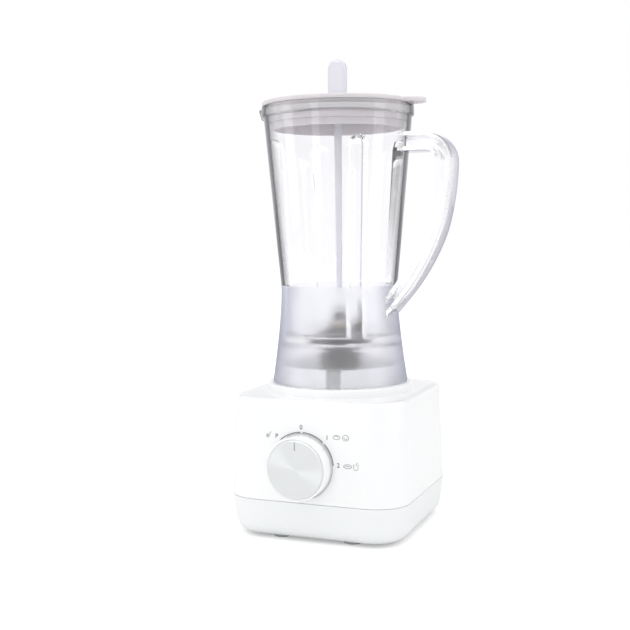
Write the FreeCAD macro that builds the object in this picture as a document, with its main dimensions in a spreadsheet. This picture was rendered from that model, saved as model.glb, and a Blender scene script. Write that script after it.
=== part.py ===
"""Countertop blender: a square motor base with a lift-off jar, blade unit, lid and stirrer.

Every piece is modelled round the motor axis, which is the Z axis here: +Z up, the knob faces
-Y and the jar handle points to +X.  Z is 0 at the soles of the feet.  Each finished piece is
then moved along X by frame_shift, so that the origin is below the middle of the whole object.
"""
import FreeCAD, Part
import math
import os
import re

import Sketcher
from FreeCAD import Placement, Rotation, Vector

os.makedirs("parts", exist_ok=True)
doc = FreeCAD.newDocument("countertop_blender")

# Driving dimensions in millimetres (angles in degrees); heights are above the soles.
SIZES = {
    # motor base
    "foot_rise": 2.5, "seam_height": 33.5, "base_top": 116.8, "base_half": 77.3,
    "base_half_top": 74.5, "cover_half_bottom": 75.2, "base_corner": 29, "shell_wall": 2.6,
    "cover_round": 11, "top_round": 4,
    "base_joint_gap": 0.3, "boss_spot": 52, "foot_spot_x": 31, "foot_spot_y": 57, "foot_radius": 8.5,
    "foot_recess": 1.5, "tower_radius": 6.6, "tower_height": 12,
    "air_slot_width": 3, "air_slot_length": 46, "air_slot_pitch": 6.5,
    "boss_radius": 4.6, "boss_bottom": 15.6, "boss_pilot": 12,
    "post_radius": 5, "post_bottom": 101.2, "post_pilot": 9, "seat_post_radius": 4.2,
    "seat_post_bottom": 106, "spindle_hole": 5.2,
    # screws and bolts
    "screw_radius": 1.9, "screw_head": 3.8, "screw_head_height": 2.2, "screw_clearance": 2.2,
    "bolt_radius": 2, "bolt_hole": 2.1, "bolt_head": 3.6, "bolt_head_height": 3,
    # control knob
    "knob_x": -5.6, "knob_height": 63.8, "knob_front": 90.5, "knob_radius": 26,
    "knob_face_radius": 24, "knob_rear": 78.3, "spindle_radius": 3,
    # jar seat
    "seat_ring_top": 123.7, "seat_ring_outer": 61.5, "seat_ring_inner": 54.8,
    "seat_boss_top": 138.5, "seat_boss_outer": 49.8, "seat_boss_inner": 46.6,
    "seat_floor_top": 119.4, "seat_hole": 20, "seat_gap_width": 12, "seat_gap_angle": 14,
    "seat_screw_spot": 24,
    # motor
    "shaft_radius": 4, "running_gap": 0.05, "stack_middle": 66, "stack_length": 30,
    "rotor_radius": 18.4, "bore_radius": 19, "stator_half_x": 36, "stator_half_y": 30,
    "winding_half": 24, "bracket_low": 22, "bracket_high": 95, "bracket_plate": 3,
    "bearing_radius": 9, "bearing_length": 7, "bolt_x": 31.5, "bolt_y": 26,
    "mount_x": 46, "mount_y": 14, "core_corner": 8, "coil_x": 24.9, "coil_thickness": 8.6,
    "coil_width": 44, "coil_window": 23, "coil_slot_x": 21.5, "coil_slot_y": 17,
    "grommet_radius": 6.5, "grommet_bore": 2.4, "grommet_height": 3.2,
    "brush_height": 37, "brush_y": 22.5, "brush_width": 6.1, "brush_depth": 8.1, "holder_side": 11,
    "commutator_radius": 11, "commutator_bottom": 31.5, "commutator_length": 12.5,
    "end_winding_radius": 16.5, "end_winding_length": 5.5, "slot_middle": 15.2,
    "fan_bottom": 9, "fan_height": 10, "fan_radius": 29, "fan_disc": 1.6, "fan_hub": 8,
    "shaft_bottom": 7, "lug_outer": 14.5, "lug_length": 7, "lug_width": 8,
    # jar
    "jar_bottom": 124, "jar_bottom_radius": 57.7, "jar_waist": 201, "jar_waist_radius": 49.5,
    "jar_rim_low": 346.5, "jar_rim_low_radius": 62.6, "jar_top": 356, "jar_rim_radius": 64.4,
    "jar_wall": 2.6, "jar_floor": 162.5, "jar_floor_wall": 3, "jar_floor_hole": 11.7,
    "rib_radius": 8.5, "rib_bottom": 160, "rib_top": 320, "rib_foot": 46.3, "rib_lean": 3.4,
    "rib_angle": 36.5, "spout_reach": 72.5, "spout_root": 55, "spout_bottom": 322,
    # handle
    "handle_reach": 100.5, "handle_width": 34, "handle_flange": 3.2, "handle_web": 3.2,
    "handle_top": 331.5, "arm_underside": 316.3, "handle_root": 44, "handle_root_low": 192.5,
    # blade unit and couplings
    "spindle_r": 4, "bush_outer": 7, "drive_radius": 17, "drive_bottom": 122.5, "drive_top": 134,
    "driven_bottom": 142, "driven_top": 148.5, "driven_radius": 18, "lug_height": 7.3,
    "blade_reach": 29, "blade_width": 13, "blade_thickness": 1.4, "blade_low": 173.2,
    "blade_high": 176.4, "blade_hub": 8, "bush_bottom": 149.8, "housing_flange": 20,
    "lock_nut_radius": 17, "lock_nut_height": 5, "gasket_height": 1.2,
    "spindle_top": 184, "nut_bottom": 177.8, "nut_radius": 6.6, "nut_top": 188.6,
    # lid and stirrer
    "lid_bottom": 356.3, "lid_top": 359.9, "lid_radius": 64, "lid_step_one": 347.3,
    "lid_step_two": 342.3, "lid_plug_bottom": 336.7, "lid_plug_radius": 60.6, "lid_tab_reach": 77,
    "lid_tab_half": 13, "lid_skirt_inner": 53.5, "lid_skirt_low": 56, "lid_skirt_high": 58.4,
    "lid_collar_top": 364, "stirrer_hole": 3.8, "stem_radius": 3.4, "stirrer_tip": 198,
    "grip_bottom": 364.3, "grip_top": 395.1, "grip_width": 16.5, "grip_thickness": 6,
    # mains lead gland
    "gland_x": -42, "gland_height": 24, "gland_back": 90.5, "cord_hole": 3.6, "gland_radius": 7.5,
    "gland_flange": 9.5, "terminal_x": -12, "terminal_y": 58,
    # rotary switch
    "switch_side": 34, "switch_depth": 18, "switch_rear": 54, "switch_bush": 5,
}
SIZES["frame_shift"] = (SIZES["base_half"] - SIZES["handle_reach"]) / 2

sheet = doc.addObject("Spreadsheet::Sheet", "Sizes")
for row, (alias, number) in enumerate(SIZES.items(), start=1):
    sheet.set(f"A{row}", alias)
    sheet.set(f"B{row}", str(number))
    sheet.setAlias(f"B{row}", alias)
doc.recompute()

TO_FRONT = Rotation(Vector(1, 0, 0), 90)
TO_BACK = Rotation(Vector(1, 0, 0), -90)
UPRIGHT = Rotation()
node_objects = {}


def formula(text):
    """Point each size word in a formula at its cell in the sheet."""
    return re.sub(r"[a-z_]\w*", lambda word: f"Sizes.{word[0]}" if word[0] in SIZES else word[0],
                  str(text))


def value(text):
    """Give the number that a formula has now."""
    return float(sheet.evalExpression(formula(text)))


def bind(thing, **properties):
    """Bind properties to formulas; a double underscore stands for a dot in the property's path."""
    for name, text in properties.items():
        thing.setExpression(name.replace("__", "."), formula(text))


def place(thing, at=(0, 0, 0), turn=UPRIGHT):
    """Turn a piece and bind its position to three formulas."""
    thing.Placement = Placement(Vector(*(value(part) for part in at)), turn)
    bind(thing, Placement__Base__x=at[0], Placement__Base__y=at[1], Placement__Base__z=at[2])
    return thing


def node(thing, name, at=(0, 0, 0), turn=UPRIGHT):
    """Make a finished piece a named node and shift it into the object's frame."""
    thing.Label = name
    node_objects[name] = place(thing, (f"{at[0]} + frame_shift", at[1], at[2]), turn)
    return thing


# ---- Part primitives and booleans ---------------------------------------------------------

def cylinder(name, radius, height, at=(0, 0, 0), turn=UPRIGHT):
    thing = doc.addObject("Part::Cylinder", name)
    bind(thing, Radius=radius, Height=height)
    return place(thing, at, turn)


def cone(name, radius_low, radius_high, height, at=(0, 0, 0), turn=UPRIGHT):
    thing = doc.addObject("Part::Cone", name)
    bind(thing, Radius1=radius_low, Radius2=radius_high, Height=height)
    return place(thing, at, turn)


def block(name, size, centre, turn=UPRIGHT):
    """A box, stated by its size and by the middle of its underside."""
    thing = doc.addObject("Part::Box", name)
    bind(thing, Length=size[0], Width=size[1], Height=size[2])
    corner = turn.multVec(Vector(-value(size[0]) / 2, -value(size[1]) / 2, 0))
    return place(thing, (f"{centre[0]} + {corner.x}", f"{centre[1]} + {corner.y}",
                         f"{centre[2]} + {corner.z}"), turn)


def fuse(name, *things):
    thing = doc.addObject("Part::MultiFuse", name)
    thing.Shapes = list(things)
    thing.Refine = True
    return thing


def common(name, first, second):
    thing = doc.addObject("Part::MultiCommon", name)
    thing.Shapes = [first, second]
    return thing


def cut(name, base, *tools):
    thing = doc.addObject("Part::Cut", name)
    thing.Base = base
    thing.Tool = tools[0] if len(tools) == 1 else fuse(f"{name}_tools", *tools)
    return thing


def group(name, things):
    """Separate solids that share one node."""
    thing = doc.addObject("Part::Compound", name)
    thing.Links = list(things)
    return thing


def tube(name, outer, inner, height, at=(0, 0, 0), turn=UPRIGHT):
    rim = cylinder(f"{name}_outside", outer, height, at, turn)
    bore = cylinder(f"{name}_bore", inner, height, at, turn)
    return cut(name, rim, bore)


def four_corners(spot_x, spot_y):
    return [(f"{sx} * {spot_x}", f"{sy} * {spot_y}") for sx in (-1, 1) for sy in (-1, 1)]


# ---- PartDesign bodies --------------------------------------------------------------------

def new_body(name):
    body = doc.addObject("PartDesign::Body", name)
    body.AllowCompound = True
    return body


def outline(body, name, plane, points, height=0):
    """Sketch a closed outline on one of the body's origin planes.

    A point of two formulas ends a straight line.  A point of four ends an arc, and its first
    two formulas say where the arc passes.  Every end is bound to the sheet.
    """
    sketch = body.newObject("Sketcher::SketchObject", name)
    support = next(item for item in body.Origin.OriginFeatures if item.Role == plane)
    sketch.AttachmentSupport = (support, "")
    sketch.MapMode = "FlatFace"
    bind(sketch, AttachmentOffset__Base__z=height)
    spots = [Vector(value(point[-2]), value(point[-1]), 0) for point in points]
    for index, point in enumerate(points):
        start, end = spots[index - 1], spots[index]
        if len(point) == 2:
            edge = Part.LineSegment(start, end)
        else:
            edge = Part.Arc(start, Vector(value(point[0]), value(point[1]), 0), end)
        sketch.addGeometry(edge, False)
    lasts = []
    for index in range(len(points)):
        first_is_start = (sketch.getPoint(index, 1) - spots[index - 1]).Length < 1e-6
        lasts.append((2, 1) if first_is_start else (1, 2))
    for index, point in enumerate(points):
        follower = (index + 1) % len(points)
        sketch.addConstraint(Sketcher.Constraint("Coincident", index, lasts[index][0],
                                                 follower, lasts[follower][1]))
        hold(sketch, index, lasts[index][0], point[-2], point[-1])
        if len(point) == 4:
            middle = Part.Point(Vector(value(point[0]), value(point[1]), 0))
            marker = sketch.addGeometry(middle, True)
            sketch.addConstraint(Sketcher.Constraint("PointOnObject", marker, 1, index))
            hold(sketch, marker, 1, point[0], point[1])
    return sketch


def hold(sketch, geometry, vertex, across, along):
    """Bind one point of a sketch to its two formulas."""
    for kind, axis, text in (("DistanceX", -2, across), ("DistanceY", -1, along)):
        if value(text) == 0:
            sketch.addConstraint(Sketcher.Constraint("PointOnObject", geometry, vertex, axis))
            continue
        number = sketch.addConstraint(
            Sketcher.Constraint(kind, -1, 1, geometry, vertex, value(text)))
        sketch.setExpression(f"Constraints[{number}]", formula(text))


def rings(body, name, plane, circles, height=0):
    """Sketch circles, each stated as centre across, centre along and radius."""
    sketch = body.newObject("Sketcher::SketchObject", name)
    support = next(item for item in body.Origin.OriginFeatures if item.Role == plane)
    sketch.AttachmentSupport = (support, "")
    sketch.MapMode = "FlatFace"
    bind(sketch, AttachmentOffset__Base__z=height)
    for across, along, radius in circles:
        centre = Vector(value(across), value(along), 0)
        circle = sketch.addGeometry(Part.Circle(centre, Vector(0, 0, 1), value(radius)), False)
        hold(sketch, circle, 3, across, along)
        number = sketch.addConstraint(Sketcher.Constraint("Radius", circle, value(radius)))
        sketch.setExpression(f"Constraints[{number}]", formula(radius))
    return sketch


def rounded_square(half_x, half_y, corner):
    """Outline of a rectangle about the origin with round corners."""
    near_x, near_y = f"{half_x} - ({corner})", f"{half_y} - ({corner})"
    slant = f"({corner}) * (1 - sqrt(0.5))"
    mid_x, mid_y = f"{half_x} - {slant}", f"{half_y} - {slant}"
    return [
        (near_x, f"-({half_y})"),
        (mid_x, f"-({mid_y})", half_x, f"-({near_y})"),
        (half_x, near_y),
        (mid_x, mid_y, near_x, half_y),
        (f"-({near_x})", half_y),
        (f"-({mid_x})", mid_y, f"-({half_x})", near_y),
        (f"-({half_x})", f"-({near_y})"),
        (f"-({mid_x})", f"-({mid_y})", f"-({near_x})", f"-({half_y})"),
    ]


def pad(body, sketch, length, symmetric=False):
    feature = body.newObject("PartDesign::Pad", f"{sketch.Name}_pad")
    feature.Profile = sketch
    feature.SideType = "Symmetric" if symmetric else "One side"
    bind(feature, Length=length)
    body.Tip = feature
    doc.recompute()
    return feature


def pocket(body, sketch, length):
    """Cut upwards from a sketch into the body."""
    before = body.Shape.Volume
    feature = body.newObject("PartDesign::Pocket", f"{sketch.Name}_pocket")
    feature.Profile = sketch
    feature.Reversed = True
    bind(feature, Length=length)
    body.Tip = feature
    doc.recompute()
    if body.Shape.Volume > before - 1:
        raise RuntimeError(f"{sketch.Name} cuts nothing")
    return feature


def drafted_square(body, kind, name, levels):
    """Loft a block through rounded squares, each stated as (half width, corner radius, height)."""
    sketches = [outline(body, f"{name}_{number}", "XY_Plane", rounded_square(half, half, corner), height)
                for number, (half, corner, height) in enumerate(levels)]
    feature = body.newObject(f"PartDesign::{kind}Loft", f"{name}_loft")
    feature.Profile = sketches[0]
    feature.Sections = sketches[1:]
    feature.Ruled = True
    body.Tip = feature
    doc.recompute()
    if not feature.Shape.isValid():
        raise RuntimeError(f"{name} is not a valid loft")
    return feature


def rounded_levels(half, corner, face, radius, inwards):
    """Levels that round a block over, from its side to its flat face; inwards is +1 or -1 along Z."""
    levels = []
    for angle in (0, 30, 60, 90):
        inset = f"{radius} * {1 - math.cos(math.radians(angle))}"
        depth = f"{inwards} * {radius} * {1 - math.sin(math.radians(angle))}"
        levels.append((f"{half} - {inset}", f"{corner} - {inset}", f"{face} + {depth}"))
    return levels


def revolve(body, sketch):
    """Turn an outline a full circle about the sketch's vertical axis."""
    feature = body.newObject("PartDesign::Revolution", f"{sketch.Name}_revolution")
    feature.Profile = sketch
    feature.ReferenceAxis = (sketch, ["V_Axis"])
    feature.Angle = 360
    body.Tip = feature
    doc.recompute()
    return feature


def turned(name, points):
    """A piece turned about Z from an outline of (radius, height) points."""
    body = new_body(name)
    revolve(body, outline(body, f"{name}_outline", "XZ_Plane", points))
    return body


# ---- Base: bottom cover, feet and screws --------------------------------------------------

def make_bottom_cover():
    """Dished cover with a rounded lower edge, air slots, foot recesses and screw holes."""
    body = new_body("bottom_cover_shell")
    edge = rounded_levels("cover_half_bottom", "base_corner", "foot_rise", "cover_round", 1)
    drafted_square(body, "Additive", "cover_outside",
                   [*reversed(edge), ("base_half", "base_corner", "seam_height")])
    drafted_square(body, "Subtractive", "cover_inside", [
        ("cover_half_bottom - 6.5", "base_corner - 6.5", "foot_rise + 3"),
        ("cover_half_bottom - shell_wall", "base_corner - shell_wall", "foot_rise + 12"),
        ("base_half - shell_wall", "base_corner - shell_wall", "seam_height")])
    holes = [cylinder(f"cover_screw_hole_{n}", "screw_clearance", "seam_height", (*spot, 0))
             for n, spot in enumerate(four_corners("boss_spot", "boss_spot"))]
    sinks = [cylinder(f"cover_screw_sink_{n}", "screw_head + 0.8", "foot_rise + 4", (*spot, 0))
             for n, spot in enumerate(four_corners("boss_spot", "boss_spot"))]
    towers = [cylinder(f"cover_screw_tower_{n}", "tower_radius", "tower_height", (*spot, "foot_rise + 1"))
              for n, spot in enumerate(four_corners("boss_spot", "boss_spot"))]
    recesses = [cylinder(f"foot_recess_{n}", "foot_radius + running_gap", "foot_recess", (*spot, "foot_rise"))
                for n, spot in enumerate(four_corners("foot_spot_x", "foot_spot_y"))]
    slots = [block(f"air_slot_{n}", ("air_slot_width", "air_slot_length", 12),
                   (f"{n} * air_slot_pitch", 0, 0)) for n in range(-4, 5)]
    gland_bore = cylinder("cover_gland_hole", "gland_radius + running_gap", 20,
                          ("gland_x", "base_half - 13", "gland_height"), TO_BACK)
    solid = fuse("bottom_cover_with_towers", body, *towers)
    node(cut("bottom_cover_cut", solid, *holes, *sinks, *recesses, *slots, gland_bore), "bottom_cover")


def make_feet():
    """Four rubber feet pressed into the cover's recesses."""
    feet = []
    for number, spot in enumerate(four_corners("foot_spot_x", "foot_spot_y")):
        sole = cone(f"foot_sole_{number}", "foot_radius - 1", "foot_radius", "foot_rise", (*spot, 0))
        plug = cylinder(f"foot_plug_{number}", "foot_radius", "foot_recess - running_gap",
                        (*spot, "foot_rise"))
        feet.append(fuse(f"foot_{number}", sole, plug))
    node(group("feet_group", feet), "rubber_feet")


def make_cover_screws():
    """Four slotted pan-head screws, pointing up, that hold the bottom cover to the housing."""
    screws, bottom = [], "foot_rise + 1.8"
    for number, spot in enumerate(four_corners("boss_spot", "boss_spot")):
        name = f"cover_screw_{number}"
        head = cylinder(f"{name}_head", "screw_head", "screw_head_height", (*spot, bottom))
        shank = cylinder(f"{name}_shank", "screw_radius", 20, (*spot, bottom))
        slot = block(f"{name}_slot", (1, "2 * screw_head + 1", 1), (*spot, bottom))
        screws.append(cut(name, fuse(f"{name}_solid", head, shank), slot))
    node(group("cover_screws_group", screws), "cover_screws")


# ---- Base: upper housing and jar seat -----------------------------------------------------

def make_upper_housing():
    """One-piece housing with screw bosses, motor posts, knob hole and a well for the coupling."""
    body = new_body("upper_housing_shell")
    low = "seam_height + base_joint_gap"
    edge = rounded_levels("base_half_top", "base_corner", "base_top", "top_round", -1)
    drafted_square(body, "Additive", "housing_outside", [("base_half", "base_corner", low), *edge])
    drafted_square(body, "Subtractive", "housing_inside", [
        ("base_half - shell_wall", "base_corner - shell_wall", low),
        ("base_half_top - shell_wall", "base_corner - shell_wall", "base_top - top_round"),
        ("base_half_top - top_round", "base_corner - top_round", "base_top - shell_wall")])
    bosses = [cylinder(f"housing_boss_{n}", "boss_radius", "base_top - 1 - boss_bottom",
                       (*spot, "boss_bottom"))
              for n, spot in enumerate(four_corners("boss_spot", "boss_spot"))]
    posts = [cylinder(f"motor_post_{n}", "post_radius", "base_top - 1 - post_bottom",
                      (*spot, "post_bottom"))
             for n, spot in enumerate(four_corners("mount_x", "mount_y"))]
    posts += [cylinder(f"seat_post_{n}", "seat_post_radius", "base_top - 1 - seat_post_bottom",
                       (*spot, "seat_post_bottom"))
              for n, spot in enumerate(four_corners("seat_screw_spot", "seat_screw_spot"))]
    pilots = [cylinder(f"boss_pilot_{n}", "screw_radius", "boss_pilot", (*spot, "boss_bottom"))
              for n, spot in enumerate(four_corners("boss_spot", "boss_spot"))]
    pilots += [cylinder(f"seat_screw_pilot_{n}", "screw_radius", 20, (*spot, "seat_post_bottom + 2"))
               for n, spot in enumerate(four_corners("seat_screw_spot", "seat_screw_spot"))]
    pilots += [cylinder(f"post_pilot_{n}", "screw_radius", "post_pilot", (*spot, "post_bottom"))
               for n, spot in enumerate(four_corners("mount_x", "mount_y"))]
    well = cylinder("coupling_well", "seat_hole + 1", 20, (0, 0, "base_top - 10"))
    spindle_bore = cylinder("spindle_bore", "spindle_hole", 20,
                            ("knob_x", "12 - base_half", "knob_height"), TO_FRONT)
    solid = fuse("housing_with_bosses", body, *bosses, *posts)
    node(cut("upper_housing_cut", solid, *pilots, well, spindle_bore), "upper_housing")


def make_jar_seat():
    """White ring and castellated boss that centre the jar, with a key that stops it turning."""
    body = turned("jar_seat_ring", [
        ("seat_hole", "base_top"), ("seat_ring_outer", "base_top"),
        ("seat_ring_outer", "seat_ring_top - 1"), ("seat_ring_outer - 1", "seat_ring_top"),
        ("seat_ring_inner", "seat_ring_top"), ("seat_ring_inner", "seat_floor_top"),
        ("seat_boss_outer + 1", "seat_floor_top"), ("seat_boss_outer", "seat_boss_top - 1"),
        ("seat_boss_outer - 1", "seat_boss_top"), ("seat_boss_inner", "seat_boss_top"),
        ("seat_boss_inner", "seat_floor_top"), ("seat_hole + 2.4", "seat_floor_top"),
        ("seat_hole + 2.4", "seat_floor_top + 4"), ("seat_hole", "seat_floor_top + 4")])
    gaps = []
    for number in range(4):
        turn = Rotation(Vector(0, 0, 1), SIZES["seat_gap_angle"] + 90 * number)
        spot = turn.multVec(Vector(0, -value("seat_boss_outer"), 0))
        gaps.append(block(f"seat_gap_{number}", ("seat_gap_width", "seat_gap_width", 30),
                          (spot.x, spot.y, "seat_floor_top"), turn))
    screw_spots = four_corners("seat_screw_spot", "seat_screw_spot")
    holes = [cylinder(f"seat_screw_hole_{n}", "screw_radius + 0.1", 30, (*spot, "base_top - 10"))
             for n, spot in enumerate(screw_spots)]
    node(cut("jar_seat_cut", body, *gaps, *holes), "jar_seat")
    screws = []
    for number, spot in enumerate(screw_spots):
        head = cylinder(f"seat_screw_head_{number}", "bolt_head", 2, (*spot, "seat_floor_top"))
        shank = cylinder(f"seat_screw_shank_{number}", "screw_radius", 9.5, (*spot, "seat_floor_top - 8"))
        screws.append(fuse(f"seat_screw_{number}", head, shank))
    node(group("seat_screws_group", screws), "seat_screws")


# ---- Motor --------------------------------------------------------------------------------

def make_stator():
    """Laminated two-pole core with its field windings."""
    bottom = "stack_middle - stack_length / 2"
    body = new_body("stator_core_stack")
    pad(body, outline(body, "stator_outside", "XY_Plane", rounded_square(
        "stator_half_x", "stator_half_y", "core_corner"), bottom), "stack_length")
    pocket(body, rings(body, "stator_bore", "XY_Plane", [(0, 0, "bore_radius")], bottom),
           "stack_length")
    slots, bolts = [], []
    for number, (sx, sy) in enumerate(four_corners(1, 1)):
        slots.append(block(f"stator_slot_{number}", (17, 12, "stack_length"),
                           (f"{sx} * coil_slot_x", f"{sy} * coil_slot_y", bottom)))
    for number, spot in enumerate(four_corners("bolt_x", "bolt_y")):
        bolts.append(cylinder(f"stator_bolt_hole_{number}", "bolt_hole", "stack_length", (*spot, bottom)))
    node(cut("stator_core_cut", body, *slots, *bolts), "stator_core")
    coils = []
    for side in (-1, 1):
        outer = block(f"coil_outer_{side}", ("coil_thickness", "coil_width", "2 * winding_half"),
                      (f"{side} * coil_x", 0, "stack_middle - winding_half"))
        window = block(f"coil_window_{side}", (12, "coil_window", "stack_length + 1"),
                       (f"{side} * coil_x", 0, f"{bottom} - 0.5"))
        coils.append(cut(f"coil_{side}", outer, window))
    node(group("coils", coils), "field_windings")


def make_brackets():
    """Two plates that carry the bearings and are bolted through the stator."""
    for name, low, boss_low in (("lower_motor_bracket", "bracket_low", "bracket_low"),
                                ("upper_motor_bracket", "bracket_high", "bracket_high - 1")):
        plate = new_body(f"{name}_plate")
        pad(plate, outline(plate, f"{name}_plan", "XY_Plane", rounded_square(
            "stator_half_x", "stator_half_y", "core_corner"), low), "bracket_plate")
        boss = cylinder(f"{name}_boss", "bearing_radius + 3", "bearing_length + 2", (0, 0, boss_low))
        pieces = [plate, boss]
        if name.startswith("upper"):
            pieces.append(block(f"{name}_ears", ("2 * mount_x + 16", 40, "bracket_plate"), (0, 0, low)))
        holes = [cylinder(f"{name}_hole_{n}", "bolt_hole", 20, (*spot, f"{low} - 5"))
                 for n, spot in enumerate(four_corners("bolt_x", "bolt_y"))]
        if name.startswith("upper"):
            holes += [cylinder(f"{name}_ear_hole_{n}", "grommet_bore", 20, (*spot, f"{low} - 5"))
                      for n, spot in enumerate(four_corners("mount_x", "mount_y"))]
        windows = [block(f"{name}_window_{n}", (14, 22, 20), (22 * n, 0, f"{low} - 5")) for n in (-1, 1)]
        seat = cylinder(f"{name}_seat", "bearing_radius", "bearing_length + 4", (0, 0, f"{boss_low} - 1"))
        node(cut(f"{name}_cut", fuse(f"{name}_solid", *pieces), *holes, *windows, seat), name)
    for name, low in (("lower_bearing", "bracket_low + 1"), ("upper_bearing", "bracket_high")):
        node(tube(f"{name}_sleeve", "bearing_radius", "shaft_radius + running_gap",
                  "bearing_length", (0, 0, low)), name)


def make_motor_fasteners():
    """Through bolts, and the rubber grommets and screws that hang the motor from the posts."""
    length = "bracket_high + bracket_plate - bracket_low"
    bolts = []
    for number, spot in enumerate(four_corners("bolt_x", "bolt_y")):
        name = f"through_bolt_{number}"
        shank = cylinder(f"{name}_shank", "bolt_radius", f"{length} + 5", (*spot, "bracket_low - 1"))
        head = cylinder(f"{name}_head", "bolt_head", "bolt_head_height",
                        (*spot, "bracket_low - bolt_head_height"))
        nut = cylinder(f"{name}_nut", "bolt_head", "bolt_head_height",
                       (*spot, "bracket_high + bracket_plate"))
        bolts.append(fuse(name, shank, head, nut))
    node(group("through_bolts_group", bolts), "motor_through_bolts")
    grommets, screws = [], []
    for number, spot in enumerate(four_corners("mount_x", "mount_y")):
        grommets.append(tube(f"grommet_{number}", "grommet_radius", "grommet_bore", "grommet_height",
                             (*spot, "bracket_high + bracket_plate")))
        shank = cylinder(f"motor_screw_shank_{number}", "screw_radius", 17, (*spot, "bracket_high - 3"))
        head = cylinder(f"motor_screw_head_{number}", "screw_head", 2.5, (*spot, "bracket_high - 2.5"))
        screws.append(fuse(f"motor_screw_{number}", shank, head))
    node(group("grommets_group", grommets), "motor_grommets")
    node(group("motor_screws_group", screws), "motor_screws")


def make_brush_gear():
    """Two brush holders on the lower bracket, each with a carbon brush and its spring."""
    holders, brushes, springs = [], [], []
    for side in (-1, 1):
        sleeve = block(f"holder_sleeve_{side}", ("holder_side", 18, "holder_side"),
                       (0, f"{side} * brush_y", "brush_height - holder_side / 2"))
        leg = block(f"holder_leg_{side}", ("holder_side", 4, "holder_side + bracket_plate"),
                    (0, f"{side} * (brush_y + 1.5)", "bracket_low + bracket_plate"))
        channel = block(f"holder_channel_{side}", ("brush_width + 0.1", 30, "brush_depth + 0.1"),
                        (0, f"{side} * brush_y", "brush_height - brush_depth / 2 - 0.05"))
        cap = block(f"holder_cap_{side}", (9, 1.4, 9), (0, f"{side} * (brush_y + 8.3)",
                                                        "brush_height - 4.5"))
        holders.append(cut(f"brush_holder_{side}", fuse(f"holder_solid_{side}", sleeve, leg), channel))
        holders.append(cap)
        brushes.append(block(f"brush_{side}", ("brush_width", 11, "brush_depth"),
                             (0, f"{side} * (brush_y - 5.8)", "brush_height - brush_depth / 2")))
        turn = TO_BACK if side > 0 else TO_FRONT
        springs.append(tube(f"brush_spring_{side}", 2.6, 1.8, 7.5,
                            (0, f"{side} * (brush_y - 0.1)", "brush_height"), turn))
    node(group("holders_group", holders), "brush_holders")
    node(group("brushes_group", brushes), "carbon_brushes")
    node(group("springs_group", springs), "brush_springs")


def make_rotor():
    """Shaft with slotted core, windings, commutator, fan and drive coupling."""
    node(cylinder("motor_shaft_bar", "shaft_radius", "drive_top - 1 - shaft_bottom"), "motor_shaft",
         (0, 0, "shaft_bottom"))
    low = "stack_middle - stack_length / 2"
    core = tube("rotor_stack", "rotor_radius", "shaft_radius", "stack_length", (0, 0, low))
    slots = []
    for number in range(12):
        turn = Rotation(Vector(0, 0, 1), 30 * number)
        spot = turn.multVec(Vector(value("slot_middle"), 0, 0))
        slots.append(block(f"rotor_slot_{number}", (8, 2.4, "stack_length"), (spot.x, spot.y, low), turn))
    node(cut("rotor_core_cut", core, *slots), "rotor_core")
    ends = []
    for name, start in (("low", f"{low} - end_winding_length"), ("high", f"{low} + stack_length")):
        ends.append(tube(f"rotor_winding_{name}", "end_winding_radius", "shaft_radius + 1.5",
                         "end_winding_length", (0, 0, start)))
    node(group("rotor_windings_group", ends), "rotor_windings")
    node(tube("commutator_sleeve", "commutator_radius", "shaft_radius", "commutator_length",
              (0, 0, "commutator_bottom")), "commutator")
    hub = cylinder("fan_hub_bar", "fan_hub", "fan_height", (0, 0, "fan_bottom"))
    disc = cylinder("fan_plate", "fan_radius", "fan_disc", (0, 0, "fan_bottom + fan_height - fan_disc"))
    blades = []
    for number in range(10):
        turn = Rotation(Vector(0, 0, 1), 36 * number)
        spot = turn.multVec(Vector(value("fan_radius - 11"), 0, 0))
        blades.append(block(f"fan_blade_{number}", ("fan_radius - fan_hub", 1.4, "fan_height - 1.4"),
                            (spot.x, spot.y, "fan_bottom"), turn))
    bore = cylinder("fan_bore", "shaft_radius", 20, (0, 0, "fan_bottom - 4"))
    node(cut("fan_cut", fuse("fan_solid", hub, disc, *blades), bore), "cooling_fan")
    disc = cylinder("drive_disc", "drive_radius", "drive_top - drive_bottom", (0, 0, "drive_bottom"))
    lugs = coupling_lugs("drive_lug", 0, "drive_top - 1")
    hole = cylinder("drive_hole", "shaft_radius", "drive_top - 1 - drive_bottom", (0, 0, "drive_bottom"))
    node(cut("drive_coupling_cut", fuse("drive_coupling_solid", disc, *lugs), hole), "drive_coupling")


def coupling_lugs(name, phase, bottom):
    """Three driving dogs of a coupling, 120 degrees apart."""
    lugs = []
    for number in range(3):
        turn = Rotation(Vector(0, 0, 1), phase + 120 * number)
        spot = turn.multVec(Vector(value("lug_outer - lug_length / 2"), 0, 0))
        lugs.append(block(f"{name}_{number}", ("lug_length", "lug_width", "lug_height + 1"),
                          (spot.x, spot.y, bottom), turn))
    return lugs


# ---- Knob, switch and mains entry ---------------------------------------------------------

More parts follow.
